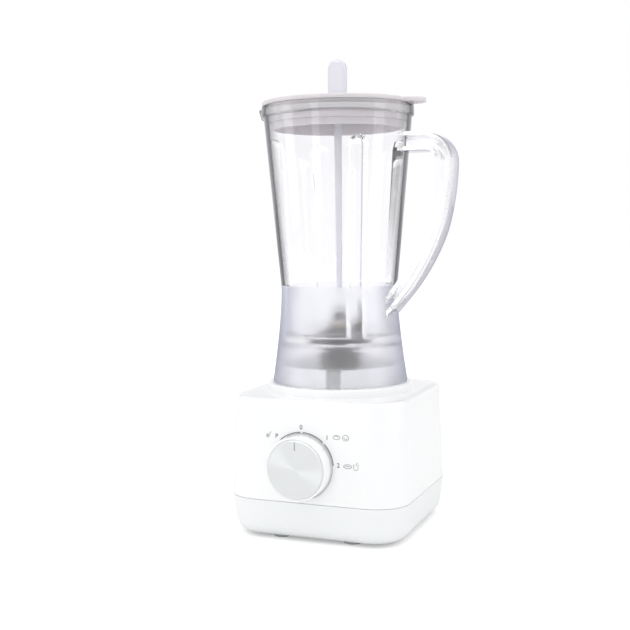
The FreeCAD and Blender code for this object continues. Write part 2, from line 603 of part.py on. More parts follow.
def make_knob():
    """Knob turned about its own axis, facing forwards, with an inlaid metal face."""
    centre = ("knob_x", 0, "knob_height")
    body = turned("knob_moulding", [
        (0, "knob_rear"), ("knob_radius", "knob_rear"), ("knob_radius - 0.4", "knob_front - 2.5"),
        ("knob_radius - 1.2", "knob_front - 0.6"), ("knob_face_radius", "knob_front - 0.6"),
        ("knob_face_radius", "knob_front - 1.4"), (0, "knob_front - 1.4")])
    bore = cylinder("knob_bore", "spindle_radius", 8, (0, 0, "knob_rear"))
    hollow = tube("knob_hollow", "knob_radius - 3", 7, 6, (0, 0, "knob_rear"))
    node(cut("knob_cut", body, bore, hollow), "knob", centre, TO_FRONT)
    face = turned("knob_face_disc", [
        (0, "knob_front - 1.4"), ("knob_face_radius", "knob_front - 1.4"),
        ("knob_face_radius", "knob_front - 0.5"), ("knob_face_radius - 0.5", "knob_front"),
        (0, "knob_front")])
    node(face, "knob_face_plate", centre, TO_FRONT)
    node(cylinder("spindle_bar", "spindle_radius", 32), "switch_spindle",
         ("knob_x", "-(switch_rear + 0.3)", "knob_height"), TO_FRONT)
    case = block("switch_case", ("switch_side", "switch_side", "switch_depth"), (0, 0, "switch_rear"))
    bush = cylinder("switch_bushing", "switch_bush", 5.6, (0, 0, "switch_rear + switch_depth"))
    bore = cylinder("switch_bore", "spindle_radius + running_gap", 40, (0, 0, "switch_rear + 0.2"))
    tabs = [block(f"switch_tab_{n}", (5, 0.8, 7.6), (8 * n, 0, "switch_rear - 7.5")) for n in (-1, 0, 1)]
    rim = cut("switch_cut", fuse("switch_solid", case, bush), bore)
    node(fuse("switch_whole", rim, *tabs), "rotary_switch", centre, TO_FRONT)


def make_mains_entry():
    """Gland in the back wall, and the terminal block behind it."""
    gland = turned("gland_turning", [
        ("cord_hole", 60), ("gland_radius", 60), ("gland_radius", "base_half + running_gap"),
        ("gland_flange", "base_half + running_gap"), ("gland_flange", "base_half + 3"),
        ("gland_radius - 1.1", "gland_back"), ("cord_hole", "gland_back")])
    node(gland, "cord_gland", ("gland_x", 0, "gland_height"), TO_BACK)
    case = block("terminal_case", (34, 14, 12), ("terminal_x", "terminal_y", "foot_rise + 3"))
    bores = [cylinder(f"terminal_bore_{n}", 2, 20,
                      (f"terminal_x + {10 * n}", "terminal_y - 10", "foot_rise + 9.5"), TO_BACK)
             for n in (-1, 0, 1)]
    node(cut("terminal_cut", case, *bores), "terminal_block")


# ---- Jar ----------------------------------------------------------------------------------

def jar_side(inset):
    """The jar's side from skirt to rim as outline points, moved inwards by a wall's part."""
    return [
        (f"51.8 - {inset}", 168, f"jar_waist_radius - {inset}", "jar_waist"),
        (f"jar_waist_radius + 0.6 - {inset}", "jar_waist + 9"),
        (f"jar_rim_low_radius - {inset}", "jar_rim_low"),
    ]


def make_jar():
    """Clear jar with a hollow skirt, four inner ribs, a pouring spout and a rim band."""
    low = jar_side("0")
    floor_under = "jar_floor - jar_floor_wall"
    shell = turned("jar_shell", [
        ("jar_bottom_radius", "jar_bottom"), *low,
        ("jar_rim_radius", "jar_rim_low + 1.6"), ("jar_rim_radius", "jar_top"),
        ("jar_rim_low_radius - jar_wall + 1", "jar_top"),
        ("jar_rim_low_radius - jar_wall", "jar_rim_low"),
        ("jar_waist_radius + 0.6 - jar_wall", "jar_waist + 9"),
        ("jar_waist_radius - jar_wall", "jar_waist"),
        ("50.7 - jar_wall", 180, "52.4 - jar_wall", "jar_floor"),
        ("jar_floor_hole", "jar_floor"), ("jar_floor_hole", floor_under),
        ("52.75 - jar_wall", floor_under),
        ("54.6 - jar_wall", 144, "jar_bottom_radius - jar_wall", "jar_bottom")])
    core = turned("jar_outside", [(0, "jar_bottom"), ("jar_bottom_radius", "jar_bottom"), *low,
                                  (0, "jar_rim_low")])
    ribs = []
    for number in range(4):
        turn = Rotation(Vector(0, 0, 1), SIZES["rib_angle"] + 90 * number)
        lean = turn.multiply(Rotation(Vector(0, 1, 0), SIZES["rib_lean"]))
        foot = turn.multVec(Vector(SIZES["rib_foot"], 0, 0)) + Vector(0, 0, SIZES["rib_bottom"])
        axis = lean.multVec(Vector(0, 0, 1))
        length = value("rib_top - rib_bottom") / axis.z
        column = cylinder(f"rib_column_{number}", "rib_radius", length, tuple(foot), lean)
        dome = doc.addObject("Part::Sphere", f"rib_dome_{number}")
        bind(dome, Radius="rib_radius")
        place(dome, tuple(foot + axis * length))
        ribs += [column, dome]
    ribs = common("jar_ribs", core, fuse("rib_bars", *ribs))
    lip = cone("spout_outside", 4, "spout_reach - spout_root", "jar_top - spout_bottom",
               ("-spout_root", 0, "spout_bottom"))
    throat = cone("spout_inside", 2.4, "spout_reach - spout_root - 2.2", "jar_top - spout_bottom - 3",
                  ("-spout_root", 0, "spout_bottom + 3"))
    hollow = turned("jar_inside", [
        (0, "jar_floor"), ("40", "jar_floor"), *jar_side("jar_wall")[1:],
        ("jar_rim_low_radius - jar_wall + 1", "jar_top"), (0, "jar_top")])
    lip_ring = cut("spout_lip", lip, hollow)
    body = fuse("jar_with_ribs", cut("jar_cut", fuse("jar_with_lip", shell, lip_ring), throat), ribs)
    node(body, "jar_body")
    return core


def make_handle(jar_core):
    """I-section handle: two broad flanges joined by a thin web, welded to the jar's wall."""
    outer = [("76", "handle_top"), ("93.3", "324.5", "handle_reach", "307.5"),
             ("98.3", "281", "91.8", "251"), ("78.2", "221.3", "59.4", "194.5"),
             ("handle_root", "176.2")]
    inner = [("57", "210.3"), ("71.5", "233.6", "82.3", "258.3"), ("88.2", "281.5", "89.3", "307"),
             ("86.9", "313.7", "80.5", "arm_underside"),
             ("handle_root", "arm_underside")]
    strips = {
        "outer": offset_strip("outer_flange", [("handle_root", "handle_top"), *outer], "-handle_flange"),
        "inner": offset_strip("inner_flange", [("handle_root", "handle_root_low"), *inner],
                              "-handle_flange"),
    }
    web = new_body("handle_web_body")
    pad(web, outline(web, "web_outline", "XZ_Plane", [
        *outer, ("handle_root", "handle_root_low"), *inner, ("handle_root", "handle_top")]),
        "handle_web", symmetric=True)
    bars = fuse("handle_bars", web, *strips.values())
    node(cut("handle_cut", bars, jar_core), "jar_handle")


def offset_strip(name, points, thickness):
    """A broad flange: an open path thickened to one side and extruded both ways across Y."""
    spots = [Vector(value(point[-2]), 0, value(point[-1])) for point in points]
    edges = []
    for start, end, point in zip(spots, spots[1:], points[1:]):
        if len(point) == 2:
            edges.append(Part.makeLine(start, end))
        else:
            through = Vector(value(point[0]), 0, value(point[1]))
            edges.append(Part.Arc(start, through, end).toShape())
    wire = Part.Wire(edges)
    path = doc.addObject("Part::Feature", f"{name}_path")
    path.Shape = wire
    strip = doc.addObject("Part::Offset2D", f"{name}_strip")
    strip.Source = path
    strip.Mode = "Skin"
    strip.Join = "Intersection"
    strip.Fill = True
    bind(strip, Value=thickness)
    flange = doc.addObject("Part::Extrusion", name)
    flange.Base = strip
    flange.DirMode = "Custom"
    flange.Dir = Vector(0, 1, 0)
    flange.Symmetric = True
    flange.Solid = True
    bind(flange, LengthFwd="handle_width")
    doc.recompute()
    return flange


# ---- Blade unit ---------------------------------------------------------------------------

def make_bearing_unit():
    """Black bearing housing in the jar's floor, with gasket, lock nut and brass bush."""
    node(turned("bearing_turning", [
        ("bush_outer", "bush_bottom - 0.3"), ("jar_floor_hole", "bush_bottom - 0.3"),
        ("jar_floor_hole", "jar_floor + gasket_height"),
        ("housing_flange", "jar_floor + gasket_height"), ("housing_flange", "jar_floor + 3.5"),
        (11, "jar_floor + 5.5"), (10, "jar_floor + 8"), ("bush_outer", "jar_floor + 8")]),
        "blade_bearing_housing")
    node(tube("gasket_ring", "housing_flange", "jar_floor_hole", "gasket_height",
              (0, 0, "jar_floor")), "jar_gasket")
    node(tube("lock_nut_ring", "lock_nut_radius", "jar_floor_hole", "lock_nut_height",
              (0, 0, "jar_floor - jar_floor_wall - lock_nut_height")), "jar_lock_nut")
    node(tube("bush_sleeve", "bush_outer", "spindle_r + running_gap", 20.5, (0, 0, "bush_bottom")),
         "spindle_bush")


def make_blade(name, height, rise, phase):
    """A two-armed pressed blade: a bent strip trimmed to a swept, pointed plan."""
    strip = new_body(f"{name}_strip")
    knee, reach, top = "9", "blade_reach", f"{height} + {rise}"
    pad(strip, outline(strip, f"{name}_side", "XZ_Plane", [
        (knee, height), (reach, top), (reach, f"{top} + blade_thickness"),
        (knee, f"{height} + blade_thickness"), (f"-{knee}", f"{height} + blade_thickness"),
        (f"-{reach}", f"{top} + blade_thickness"), (f"-{reach}", top), (f"-{knee}", height)]),
        30, symmetric=True)
    plan = new_body(f"{name}_plan_body")
    half = "blade_width / 2"
    pad(plan, outline(plan, f"{name}_plan", "XY_Plane", [
        (9, f"-{half}"), (24, f"-{half}"), ("blade_reach - 0.5", "-2.2"), (24, "2.4"), (9, half),
        (-9, half), (-24, half), ("0.5 - blade_reach", "2.2"), (-24, "-2.4"), (-9, f"-{half}")],
        f"{height} - 30"), 60)
    pad(plan, rings(plan, f"{name}_hub", "XY_Plane", [(0, 0, "blade_hub")], f"{height} - 30"), 60)
    hole = cylinder(f"{name}_hole", "spindle_r", 60, (0, 0, f"{height} - 30"))
    bent = common(f"{name}_bent", strip, plan)
    node(cut(f"{name}_cut", bent, hole), name, turn=Rotation(Vector(0, 0, 1), phase))


def make_blade_unit():
    """Spindle with two blades, spacer, cap nut and the driven half of the coupling."""
    make_blade("lower_blade", "blade_low", "-4.5", 25)
    make_blade("upper_blade", "blade_high", "9", 115)
    node(tube("blade_spacer_ring", "blade_hub - 1", "spindle_r",
              "blade_high - blade_low - blade_thickness", (0, 0, "blade_low + blade_thickness")),
         "blade_spacer")
    node(tube("thrust_washer_ring", "blade_hub", "spindle_r", 2.4, (0, 0, "blade_low - 2.4")),
         "thrust_washer")
    node(cylinder("spindle_rod", "spindle_r", "spindle_top - driven_bottom - 1"), "blade_spindle",
         (0, 0, "driven_bottom + 1"))
    nut = turned("nut_turning", [
        (0, "spindle_top"), ("spindle_r", "spindle_top"), ("spindle_r", "nut_bottom"),
        ("nut_radius", "nut_bottom"), ("nut_radius", "nut_top - 5.1"),
        ("nut_radius - 1.6", "nut_top - 1.4"), (0, "nut_top")])
    node(nut, "blade_nut")
    disc = cylinder("driven_disc", "driven_radius", "driven_top - driven_bottom", (0, 0, "driven_bottom"))
    lugs = coupling_lugs("driven_lug", 60, "driven_bottom - lug_height")
    skirt = tube("driven_skirt", "driven_radius", 15.6, "lug_height", (0, 0, "driven_bottom - lug_height"))
    hole = cylinder("driven_hole", "spindle_r", 30, (0, 0, "driven_bottom + 1"))
    node(cut("driven_cut", fuse("driven_solid", disc, skirt, *lugs), hole), "driven_coupling")


# ---- Lid and stirrer ----------------------------------------------------------------------

def make_lid():
    """Stepped plug lid with a finger tab and a collar for the stirrer, and its seal ring."""
    under = "lid_bottom - 0.4"
    body = turned("lid_turning", [
        ("stirrer_hole", under), ("lid_skirt_inner", under), ("lid_skirt_inner", "lid_plug_bottom"),
        ("lid_skirt_low", "lid_plug_bottom"), ("lid_skirt_low", "lid_step_two"),
        ("lid_skirt_high", "lid_step_two"), ("lid_skirt_high", "lid_step_one"),
        ("lid_plug_radius - 1.6", "lid_step_one"),
        ("lid_plug_radius - 1.6", "lid_bottom - 1"), ("lid_radius - 3", "lid_bottom"),
        ("lid_radius - 0.6", "lid_bottom"), ("lid_radius", "lid_bottom + 0.8"),
        ("lid_radius", "lid_top - 1"), ("lid_radius - 1", "lid_top"),
        (14, "lid_top"), (12.5, "lid_collar_top"), ("stirrer_hole", "lid_collar_top")])
    tab = block("lid_tab_bar", (20, "2 * lid_tab_half", "lid_top - lid_bottom - 0.6"),
                ("lid_tab_reach - lid_tab_half - 3", 0, "lid_bottom + 0.1"))
    tip = cylinder("lid_tab_tip", "lid_tab_half", "lid_top - lid_bottom - 0.6",
                   ("lid_tab_reach - lid_tab_half", 0, "lid_bottom + 0.1"))
    bore = cylinder("lid_bore", 55, 40, (0, 0, "lid_bottom - 30"))
    tab_ring = cut("lid_tab", fuse("lid_tab_solid", tab, tip), bore)
    node(fuse("lid_whole", body, tab_ring), "lid")
    node(tube("lid_seal_ring", "lid_plug_radius - 0.5", "lid_plug_radius - 1.6", 4,
              (0, 0, "lid_step_one + 2")), "lid_seal")


def make_stirrer():
    """Moulded stirrer: flat grip with a round top, a shoulder and a long tapering stem."""
    grip = new_body("stirrer_grip")
    half = "grip_width / 2"
    pad(grip, outline(grip, "grip_outline", "XZ_Plane", [
        ("grip_width / 2 - 1", "grip_bottom"), (half, "grip_bottom + 4"),
        (half, f"grip_top - {half}"), (0, "grip_top", f"-{half}", f"grip_top - {half}"),
        (f"-{half}", "grip_bottom + 4"), ("1 - grip_width / 2", "grip_bottom")]),
        "grip_thickness", symmetric=True)
    stem = cone("stirrer_stem", "stem_radius - 1", "stem_radius", "grip_bottom + 2 - stirrer_tip",
                (0, 0, "stirrer_tip"))
    shoulder = cylinder("stirrer_shoulder", 7, 2, (0, 0, "grip_bottom"))
    node(fuse("stirrer_whole", grip, stem, shoulder), "stirrer")


make_bottom_cover()
make_feet()
make_cover_screws()
make_upper_housing()
make_jar_seat()
make_stator()
make_brackets()
make_motor_fasteners()
make_brush_gear()
make_rotor()
make_knob()
make_mains_entry()
make_handle(make_jar())
make_bearing_unit()
make_blade_unit()
make_lid()
make_stirrer()
doc.recompute()

# ---- Check every object, then write one STEP file for each node -----------------------------
for thing in doc.Objects:
    if {"Invalid", "Error"} & set(thing.State):
        raise RuntimeError(f"{thing.Name} failed: {thing.State}")
for name, thing in node_objects.items():
    if thing.Shape.isNull() or not thing.Shape.isValid() or not thing.Shape.Solids:
        raise RuntimeError(f"{name} has no valid solid")
for name, thing in node_objects.items():
    thing.Shape.exportStep(f"parts/{name}.step")
    box = thing.Shape.BoundBox
    print(f"{name:24s} solids {len(thing.Shape.Solids):2d}  volume {thing.Shape.Volume / 1000:8.2f} cm3"
          f"  z {box.ZMin:6.1f} to {box.ZMax:6.1f}")
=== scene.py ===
"""Looks of a countertop blender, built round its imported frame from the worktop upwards.

Meshes are drawn in millimetres from the motor axis, as a maker's drawing gives them, and are
moved into the frame, in metres, when a piece is finished.
"""
import math

import bmesh
import bpy
from mathutils import Matrix, Vector


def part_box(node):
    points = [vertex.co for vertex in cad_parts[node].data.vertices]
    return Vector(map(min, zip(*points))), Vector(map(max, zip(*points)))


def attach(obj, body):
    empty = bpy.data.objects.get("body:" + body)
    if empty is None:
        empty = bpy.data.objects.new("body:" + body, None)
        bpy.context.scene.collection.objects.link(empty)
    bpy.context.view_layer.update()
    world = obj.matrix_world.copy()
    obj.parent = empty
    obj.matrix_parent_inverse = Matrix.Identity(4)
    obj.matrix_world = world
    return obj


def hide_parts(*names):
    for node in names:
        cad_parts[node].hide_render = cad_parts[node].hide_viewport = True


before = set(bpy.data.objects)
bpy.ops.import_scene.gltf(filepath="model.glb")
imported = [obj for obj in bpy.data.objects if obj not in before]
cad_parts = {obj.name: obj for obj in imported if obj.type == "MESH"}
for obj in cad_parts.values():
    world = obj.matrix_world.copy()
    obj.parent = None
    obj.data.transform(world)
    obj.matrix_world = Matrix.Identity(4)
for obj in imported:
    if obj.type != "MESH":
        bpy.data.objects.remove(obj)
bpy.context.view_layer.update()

# ---- Camera ----
# A short telephoto lens a little above half the height, to the right of the knob's side.

MM = 0.001
axis_x = sum(corner.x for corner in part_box("motor_shaft")) / 2
TO_FRAME = Matrix.Translation((axis_x, 0, 0)) @ Matrix.Scale(MM, 4)

CAMERA_LENS = 59.73
CAMERA_DISTANCE = 895
CAMERA_HEIGHT = 254.5
CAMERA_AZIMUTH = math.radians(20.45)
CAMERA_TURN = math.radians(21.81)
CAMERA_TILT = math.radians(90 - 4.77)
CAMERA_ROLL = math.radians(-0.67)

camera = bpy.data.objects.new("camera", bpy.data.cameras.new("camera"))
camera.data.lens = CAMERA_LENS
spot = TO_FRAME @ Vector((CAMERA_DISTANCE * math.sin(CAMERA_AZIMUTH),
                          -CAMERA_DISTANCE * math.cos(CAMERA_AZIMUTH), CAMERA_HEIGHT))
camera.matrix_world = (
    Matrix.Translation(spot) @ Matrix.Rotation(CAMERA_TURN, 4, "Z")
    @ Matrix.Rotation(CAMERA_TILT, 4, "X") @ Matrix.Rotation(CAMERA_ROLL, 4, "Z"))
bpy.context.scene.collection.objects.link(camera)
bpy.context.scene.camera = camera

# ---- Studio ----
# A white floor under one large overhead light, with tall soft boxes on each side and in front.
# The room is a little darker than the backdrop, so that white and clear plastics keep their
# edges.


def linear(hex_colour):
    """Turn an sRGB hex colour into linear red, green, blue and alpha."""
    parts = [int(hex_colour[start:start + 2], 16) / 255 for start in (1, 3, 5)]
    return [part / 12.92 if part <= 0.04045 else ((part + 0.055) / 1.055) ** 2.4
            for part in parts] + [1]


def add(tree, kind, inputs=None, **settings):
    """Add a node with its settings; an input is given as a value or as the socket to link."""
    node = tree.nodes.new(kind)
    for name, setting in settings.items():
        setattr(node, name, setting)
    for name, given in (inputs or {}).items():
        if isinstance(given, bpy.types.NodeSocket):
            tree.links.new(given, node.inputs[name])
        else:
            node.inputs[name].default_value = given
    return node


def new_material(name, colour, roughness, sockets=None):
    """A material with one Principled shader; returns the material, its tree and the shader."""
    material = bpy.data.materials.new(name)
    material.use_nodes = True
    tree = material.node_tree
    tree.nodes.clear()
    shader = add(tree, "ShaderNodeBsdfPrincipled",
                 {"Base Color": linear(colour), "Roughness": roughness, **(sockets or {})})
    add(tree, "ShaderNodeOutputMaterial", {"Surface": shader.outputs[0]})
    return material, tree, shader


def soft_box(name, place, size, power):
    """A large area light that faces the middle of the object."""
    light = bpy.data.objects.new(name, bpy.data.lights.new(name, "AREA"))
    light.data.shape = "RECTANGLE"
    light.data.size, light.data.size_y = size
    light.data.energy = power
    towards = Vector((0, 0, 0.2)) - Vector(place)
    turn = towards.to_track_quat("-Z", "Y").to_matrix().to_4x4()
    light.matrix_world = Matrix.Translation(place) @ turn
    bpy.context.scene.collection.objects.link(light)


soft_box("overhead_light", (0.1, -0.2, 1.7), (1.6, 1.6), 8)
soft_box("left_light", (-1.3, -0.7, 0.7), (0.5, 1.4), 2.4)
soft_box("right_light", (1.4, -0.1, 0.6), (0.5, 1.4), 2)
soft_box("front_left_light", (-0.45, -1.75, 0.7), (0.4, 1.5), 2.2)

world = bpy.data.worlds.new("studio")
bpy.context.scene.world = world
world.use_nodes = True
world.node_tree.nodes.clear()
direction = add(world.node_tree, "ShaderNodeSeparateXYZ",
                {0: add(world.node_tree, "ShaderNodeTexCoord").outputs["Generated"]})
rise = add(world.node_tree, "ShaderNodeValToRGB", {"Fac": direction.outputs["Z"]})
for position, brightness in ((0.12, 1), (0.32, 0.5), (0.7, 0.9)):
    step = rise.color_ramp.elements.new(position)
    step.color = (brightness, brightness, brightness * 1.01, 1)
rise.color_ramp.elements.remove(rise.color_ramp.elements[0])
rays = add(world.node_tree, "ShaderNodeLightPath")
room = add(world.node_tree, "ShaderNodeBackground", {"Color": rise.outputs[0], "Strength": 1})
backdrop = add(world.node_tree, "ShaderNodeBackground", {"Color": (1, 1, 1, 1), "Strength": 1})
seen = add(world.node_tree, "ShaderNodeMixShader",
           {0: rays.outputs["Is Camera Ray"], 1: room.outputs[0], 2: backdrop.outputs[0]})
add(world.node_tree, "ShaderNodeOutputWorld", {"Surface": seen.outputs[0]})
bpy.context.scene.view_settings.view_transform = "Standard"
# Light is passed on many times inside thick clear edges, which turn black if it stops early.
cycles = bpy.context.scene.cycles
cycles.max_bounces = cycles.glossy_bounces = cycles.transmission_bounces = 32

FLOOR_RADIUS = 9
FLOOR_LIFT = 0.3

floor_mesh = bpy.data.meshes.new("floor")
floor_shape = bmesh.new()
bmesh.ops.create_circle(floor_shape, cap_ends=True, segments=64, radius=FLOOR_RADIUS)
floor_shape.to_mesh(floor_mesh)
floor = bpy.data.objects.new("floor", floor_mesh)
# Matt white paint, lifted to the backdrop's white where it is seen directly or through the jar.
floor_paint, floor_tree, floor_shader = new_material(
    "matt_white_paint", "#F4F4F4", 0.8, {"Emission Color": (1, 1, 1, 1)})
floor_rays = add(floor_tree, "ShaderNodeLightPath")
direct = add(floor_tree, "ShaderNodeMath", {
    0: floor_rays.outputs["Is Camera Ray"], 1: floor_rays.outputs["Is Transmission Ray"]},
    operation="MAXIMUM")
lift = add(floor_tree, "ShaderNodeMath", {0: direct.outputs[0], 1: FLOOR_LIFT},
           operation="MULTIPLY")
floor_tree.links.new(lift.outputs[0], floor_shader.inputs["Emission Strength"])
floor_mesh.materials.append(floor_paint)
bpy.context.scene.collection.objects.link(floor)

# ---- Bottom cover ----
# A dished moulding in white ABS that closes the base from below.  Its lower edge is well
# rounded; nine air slots cool the motor, and four screws hold it to the housing.

CORNER = 29
WALL = 2.6
COVER_ROUND = 11
EDGE_BREAK = 0.3
SCREW_SPOT = 52
FOOT_SPOT = (31, 57)
FOOT_RADIUS = 8.5
TOWER_RADIUS, SINK_RADIUS, SCREW_HOLE_RADIUS = 6.6, 4.6, 2.2
GLAND_RADIUS = 7.5
SLOT_COUNT, SLOT_PITCH, SLOT_WIDTH, SLOT_LENGTH = 9, 6.5, 3, 46


def span(node):
    """Lowest and highest corner of a frame piece, in millimetres from the motor axis."""
    return [TO_FRAME.inverted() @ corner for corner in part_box(node)]


def square_ring(half_x, half_y, corner, height, steps=12):
    """Points of a rectangle with round corners, at one height."""
    ring = []
    for quarter, (side_x, side_y) in enumerate(((1, -1), (1, 1), (-1, 1), (-1, -1))):
        for step in range(steps + 1):
            angle = math.radians(90 * (quarter - 1 + step / steps))
            ring.append((side_x * (half_x - corner) + corner * math.cos(angle),
                         side_y * (half_y - corner) + corner * math.sin(angle), height))
    return ring


def skin(rings, loop=False):
    """Join rings of points into a closed surface; without loop, both ends get a flat cap."""
    shape = bmesh.new()
    rows = [[shape.verts.new(point) for point in ring] for ring in rings]
    for low, high in zip(rows, rows[1:] + rows[:1] if loop else rows[1:]):
        for here in range(len(low)):
            after = (here + 1) % len(low)
            shape.faces.new((low[here], low[after], high[after], high[here]))
    if not loop:
        shape.faces.new(reversed(rows[0]))
        shape.faces.new(rows[-1])
    bmesh.ops.remove_doubles(shape, verts=shape.verts, dist=1e-4)
    bmesh.ops.recalc_face_normals(shape, faces=shape.faces)
    return shape


def circle(radius, height, steps, spot=(0, 0)):
    """Points of a level circle."""
    turns = [math.tau * step / steps for step in range(steps)]
    return [(spot[0] + radius * math.cos(turn), spot[1] + radius * math.sin(turn), height)
            for turn in turns]


def rod(radius, low, high, spot=(0, 0), steps=40):
    """A plain upright bar, used to join bosses to a moulding or to cut holes in it."""
    return skin([circle(radius, height, steps, spot) for height in (low, high)])


def moved(shape, matrix):
    """Move or turn a shape, and give it back."""
    bmesh.ops.transform(shape, matrix=matrix, verts=shape.verts)
    return shape


def corners(spot):
    """The four spots at plus and minus a distance across and along."""
    return [(side * spot[0], end * spot[1]) for side in (-1, 1) for end in (-1, 1)]


def as_object(shape):
    """Put a shape into the scene as a working object."""
    mesh = bpy.data.meshes.new("working")
    shape.to_mesh(mesh)
    thing = bpy.data.objects.new("working", mesh)
    bpy.context.scene.collection.objects.link(thing)
    return thing


def evaluated(thing):
    """The mesh of a working object with its modifiers applied; the object is removed."""
    depsgraph = bpy.context.evaluated_depsgraph_get()
    mesh = bpy.data.meshes.new_from_object(thing.evaluated_get(depsgraph))
    bpy.data.objects.remove(thing)
    return mesh


def combined(shape, operation, tools):
    """Join (UNION) or cut (DIFFERENCE) a solid with each tool."""
    solid = as_object(shape)
    others = [as_object(tool) for tool in tools]
    for other in others:
        modifier = solid.modifiers.new("boolean", "BOOLEAN")
        modifier.operation = operation
        modifier.solver = "EXACT"
        modifier.object = other
    result = bmesh.new()
    result.from_mesh(evaluated(solid))
    for other in others:
        bpy.data.objects.remove(other)
    return result


def engrave(tree, shader, texture, depth):
    """Raise and sink a finish by a texture, to a depth in millimetres."""
    bump = add(tree, "ShaderNodeBump", {"Height": texture, "Distance": depth * MM})
    tree.links.new(bump.outputs[0], shader.inputs["Normal"])


def piece(name, shape, materials, body, slot, *nodes, sharp=30):
    """Finish a shape as a named piece that rides on a body and stands for frame nodes."""
    if isinstance(shape, bmesh.types.BMesh):
        mesh = bpy.data.meshes.new(name)
        shape.to_mesh(mesh)
        for material in materials:
            mesh.materials.append(material)
    else:
        mesh = shape
    mesh.transform(TO_FRAME)
    mesh.shade_smooth()
    mesh.set_sharp_from_angle(angle=math.radians(sharp))
    thing = bpy.data.objects.new(name, mesh)
    bpy.context.scene.collection.objects.link(thing)
    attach(thing, body)
    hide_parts(*nodes)
    return thing


def moulded(name, colour, roughness, grain=0.6, depth=0.002, sockets=None):
    """Moulded plastic: the mould's fine grain, in millimetres, makes its gloss soft and uneven."""
    material, tree, shader = new_material(name, colour, roughness, sockets)
    place = add(tree, "ShaderNodeTexCoord")
    fine = add(tree, "ShaderNodeTexNoise",
               {"Vector": place.outputs["Object"], "Scale": 1 / (grain * MM), "Detail": 3})
    engrave(tree, shader, fine.outputs[0], depth)
    broad = add(tree, "ShaderNodeTexNoise",
                {"Vector": place.outputs["Object"], "Scale": 1 / (40 * MM), "Detail": 2})
    gloss = add(tree, "ShaderNodeMapRange",
                {"Value": broad.outputs[0], "To Min": roughness - 0.05, "To Max": roughness + 0.05})
    tree.links.new(gloss.outputs[0], shader.inputs["Roughness"])
    return material


# White ABS in a satin mould, with a soft shine, painted slightly greyer than the housing: painted
# shade for the lower walls, which face the floor.
satin_abs = moulded("satin_white_abs", "#F4F6F6", 0.34, sockets={"IOR": 1.54})

cover_low, cover_high = span("bottom_cover")
seam_half = cover_high.x
cover_half = seam_half - 2.1
edge = [math.radians(angle) for angle in range(90, -1, -9)]
levels = [(cover_half - COVER_ROUND * (1 - math.cos(angle)),
           CORNER - COVER_ROUND * (1 - math.cos(angle)),
           cover_low.z + COVER_ROUND * (1 - math.sin(angle))) for angle in edge]
levels += [(seam_half, CORNER, cover_high.z - EDGE_BREAK),
           (seam_half - EDGE_BREAK, CORNER - EDGE_BREAK, cover_high.z),
           (seam_half - WALL, CORNER - WALL, cover_high.z),
           (cover_half - WALL, CORNER - WALL, cover_low.z + 12),
           (cover_half - 4, CORNER - 4, cover_low.z + 6),
           (cover_half - 7.5, CORNER - 7.5, cover_low.z + 3)]
cover = skin([square_ring(half, half, corner, height) for half, corner, height in levels])
screw_spots = corners((SCREW_SPOT, SCREW_SPOT))
cover = combined(cover, "UNION", [rod(TOWER_RADIUS, cover_low.z + 1, cover_low.z + 13, spot)
                                  for spot in screw_spots])
cuts = [rod(SCREW_HOLE_RADIUS, -1, 60, spot) for spot in screw_spots]
cuts += [rod(SINK_RADIUS, -1, cover_low.z + 4, spot) for spot in screw_spots]
cuts += [rod(FOOT_RADIUS + 0.1, -1, cover_low.z + 1.5, spot) for spot in corners(FOOT_SPOT)]
for number in range(SLOT_COUNT):
    slot = skin([square_ring(SLOT_WIDTH / 2, SLOT_LENGTH / 2, SLOT_WIDTH / 2 - 0.05, height, 5)
                 for height in (-1, 12)])
    across = SLOT_PITCH * (number - SLOT_COUNT // 2)
    cuts.append(moved(slot, Matrix.Translation((across, 0, 0))))
gland_low, gland_high = span("cord_gland")
gland_middle = (gland_low + gland_high) / 2
AT_GLAND = (Matrix.Translation((gland_middle.x, 0, gland_middle.z))
            @ Matrix.Rotation(math.radians(-90), 4, "X"))
cuts.append(moved(rod(GLAND_RADIUS + 0.1, 60, 90), AT_GLAND))
piece("bottom_cover", combined(cover, "DIFFERENCE", cuts), [satin_abs], "base", "cover_plastic",
      "bottom_cover")

# ---- Feet and cover screws ----
# Four soft grey rubber feet pressed into the cover, and four zinc-plated pan-head screws
# driven up into the housing's bosses.

SHANK_RADIUS, THREAD_PITCH = 1.9, 1.4


def rounded(points, steps=5):
    """Round an outline's corners: a point is (across, up), or (across, up, corner radius)."""
    result = []
    for number, point in enumerate(points):
        here = Vector(point[:2])
        if len(point) == 2:
            result.append(here)
            continue
        before = Vector(points[number - 1][:2]) - here
        after = Vector(points[(number + 1) % len(points)][:2]) - here
        reach = point[2] / math.tan(before.angle(after) / 2)
        reach = min(reach, 0.49 * before.length, 0.49 * after.length)
        start, end = here + before.normalized() * reach, here + after.normalized() * reach
        for step in range(steps + 1):
            share = step / steps
            result.append((1 - share) ** 2 * start + 2 * share * (1 - share) * here
                          + share ** 2 * end)
    return result


def lathe(points, steps=96):
    """Turn a closed outline of (radius, height) points about the upright axis."""
    return skin([circle(radius, height, steps) for radius, height in points], loop=True)


def grown(tree, inputs):
    """Run a geometry tree with its named inputs, and give the result as a plain mesh."""
    carrier = as_object(bmesh.new())
    modifier = carrier.modifiers.new("tree", "NODES")
    modifier.node_group = tree
    for item in tree.interface.items_tree:
        if item.in_out == "INPUT":
            modifier[item.identifier] = inputs[item.name]
    return evaluated(carrier)


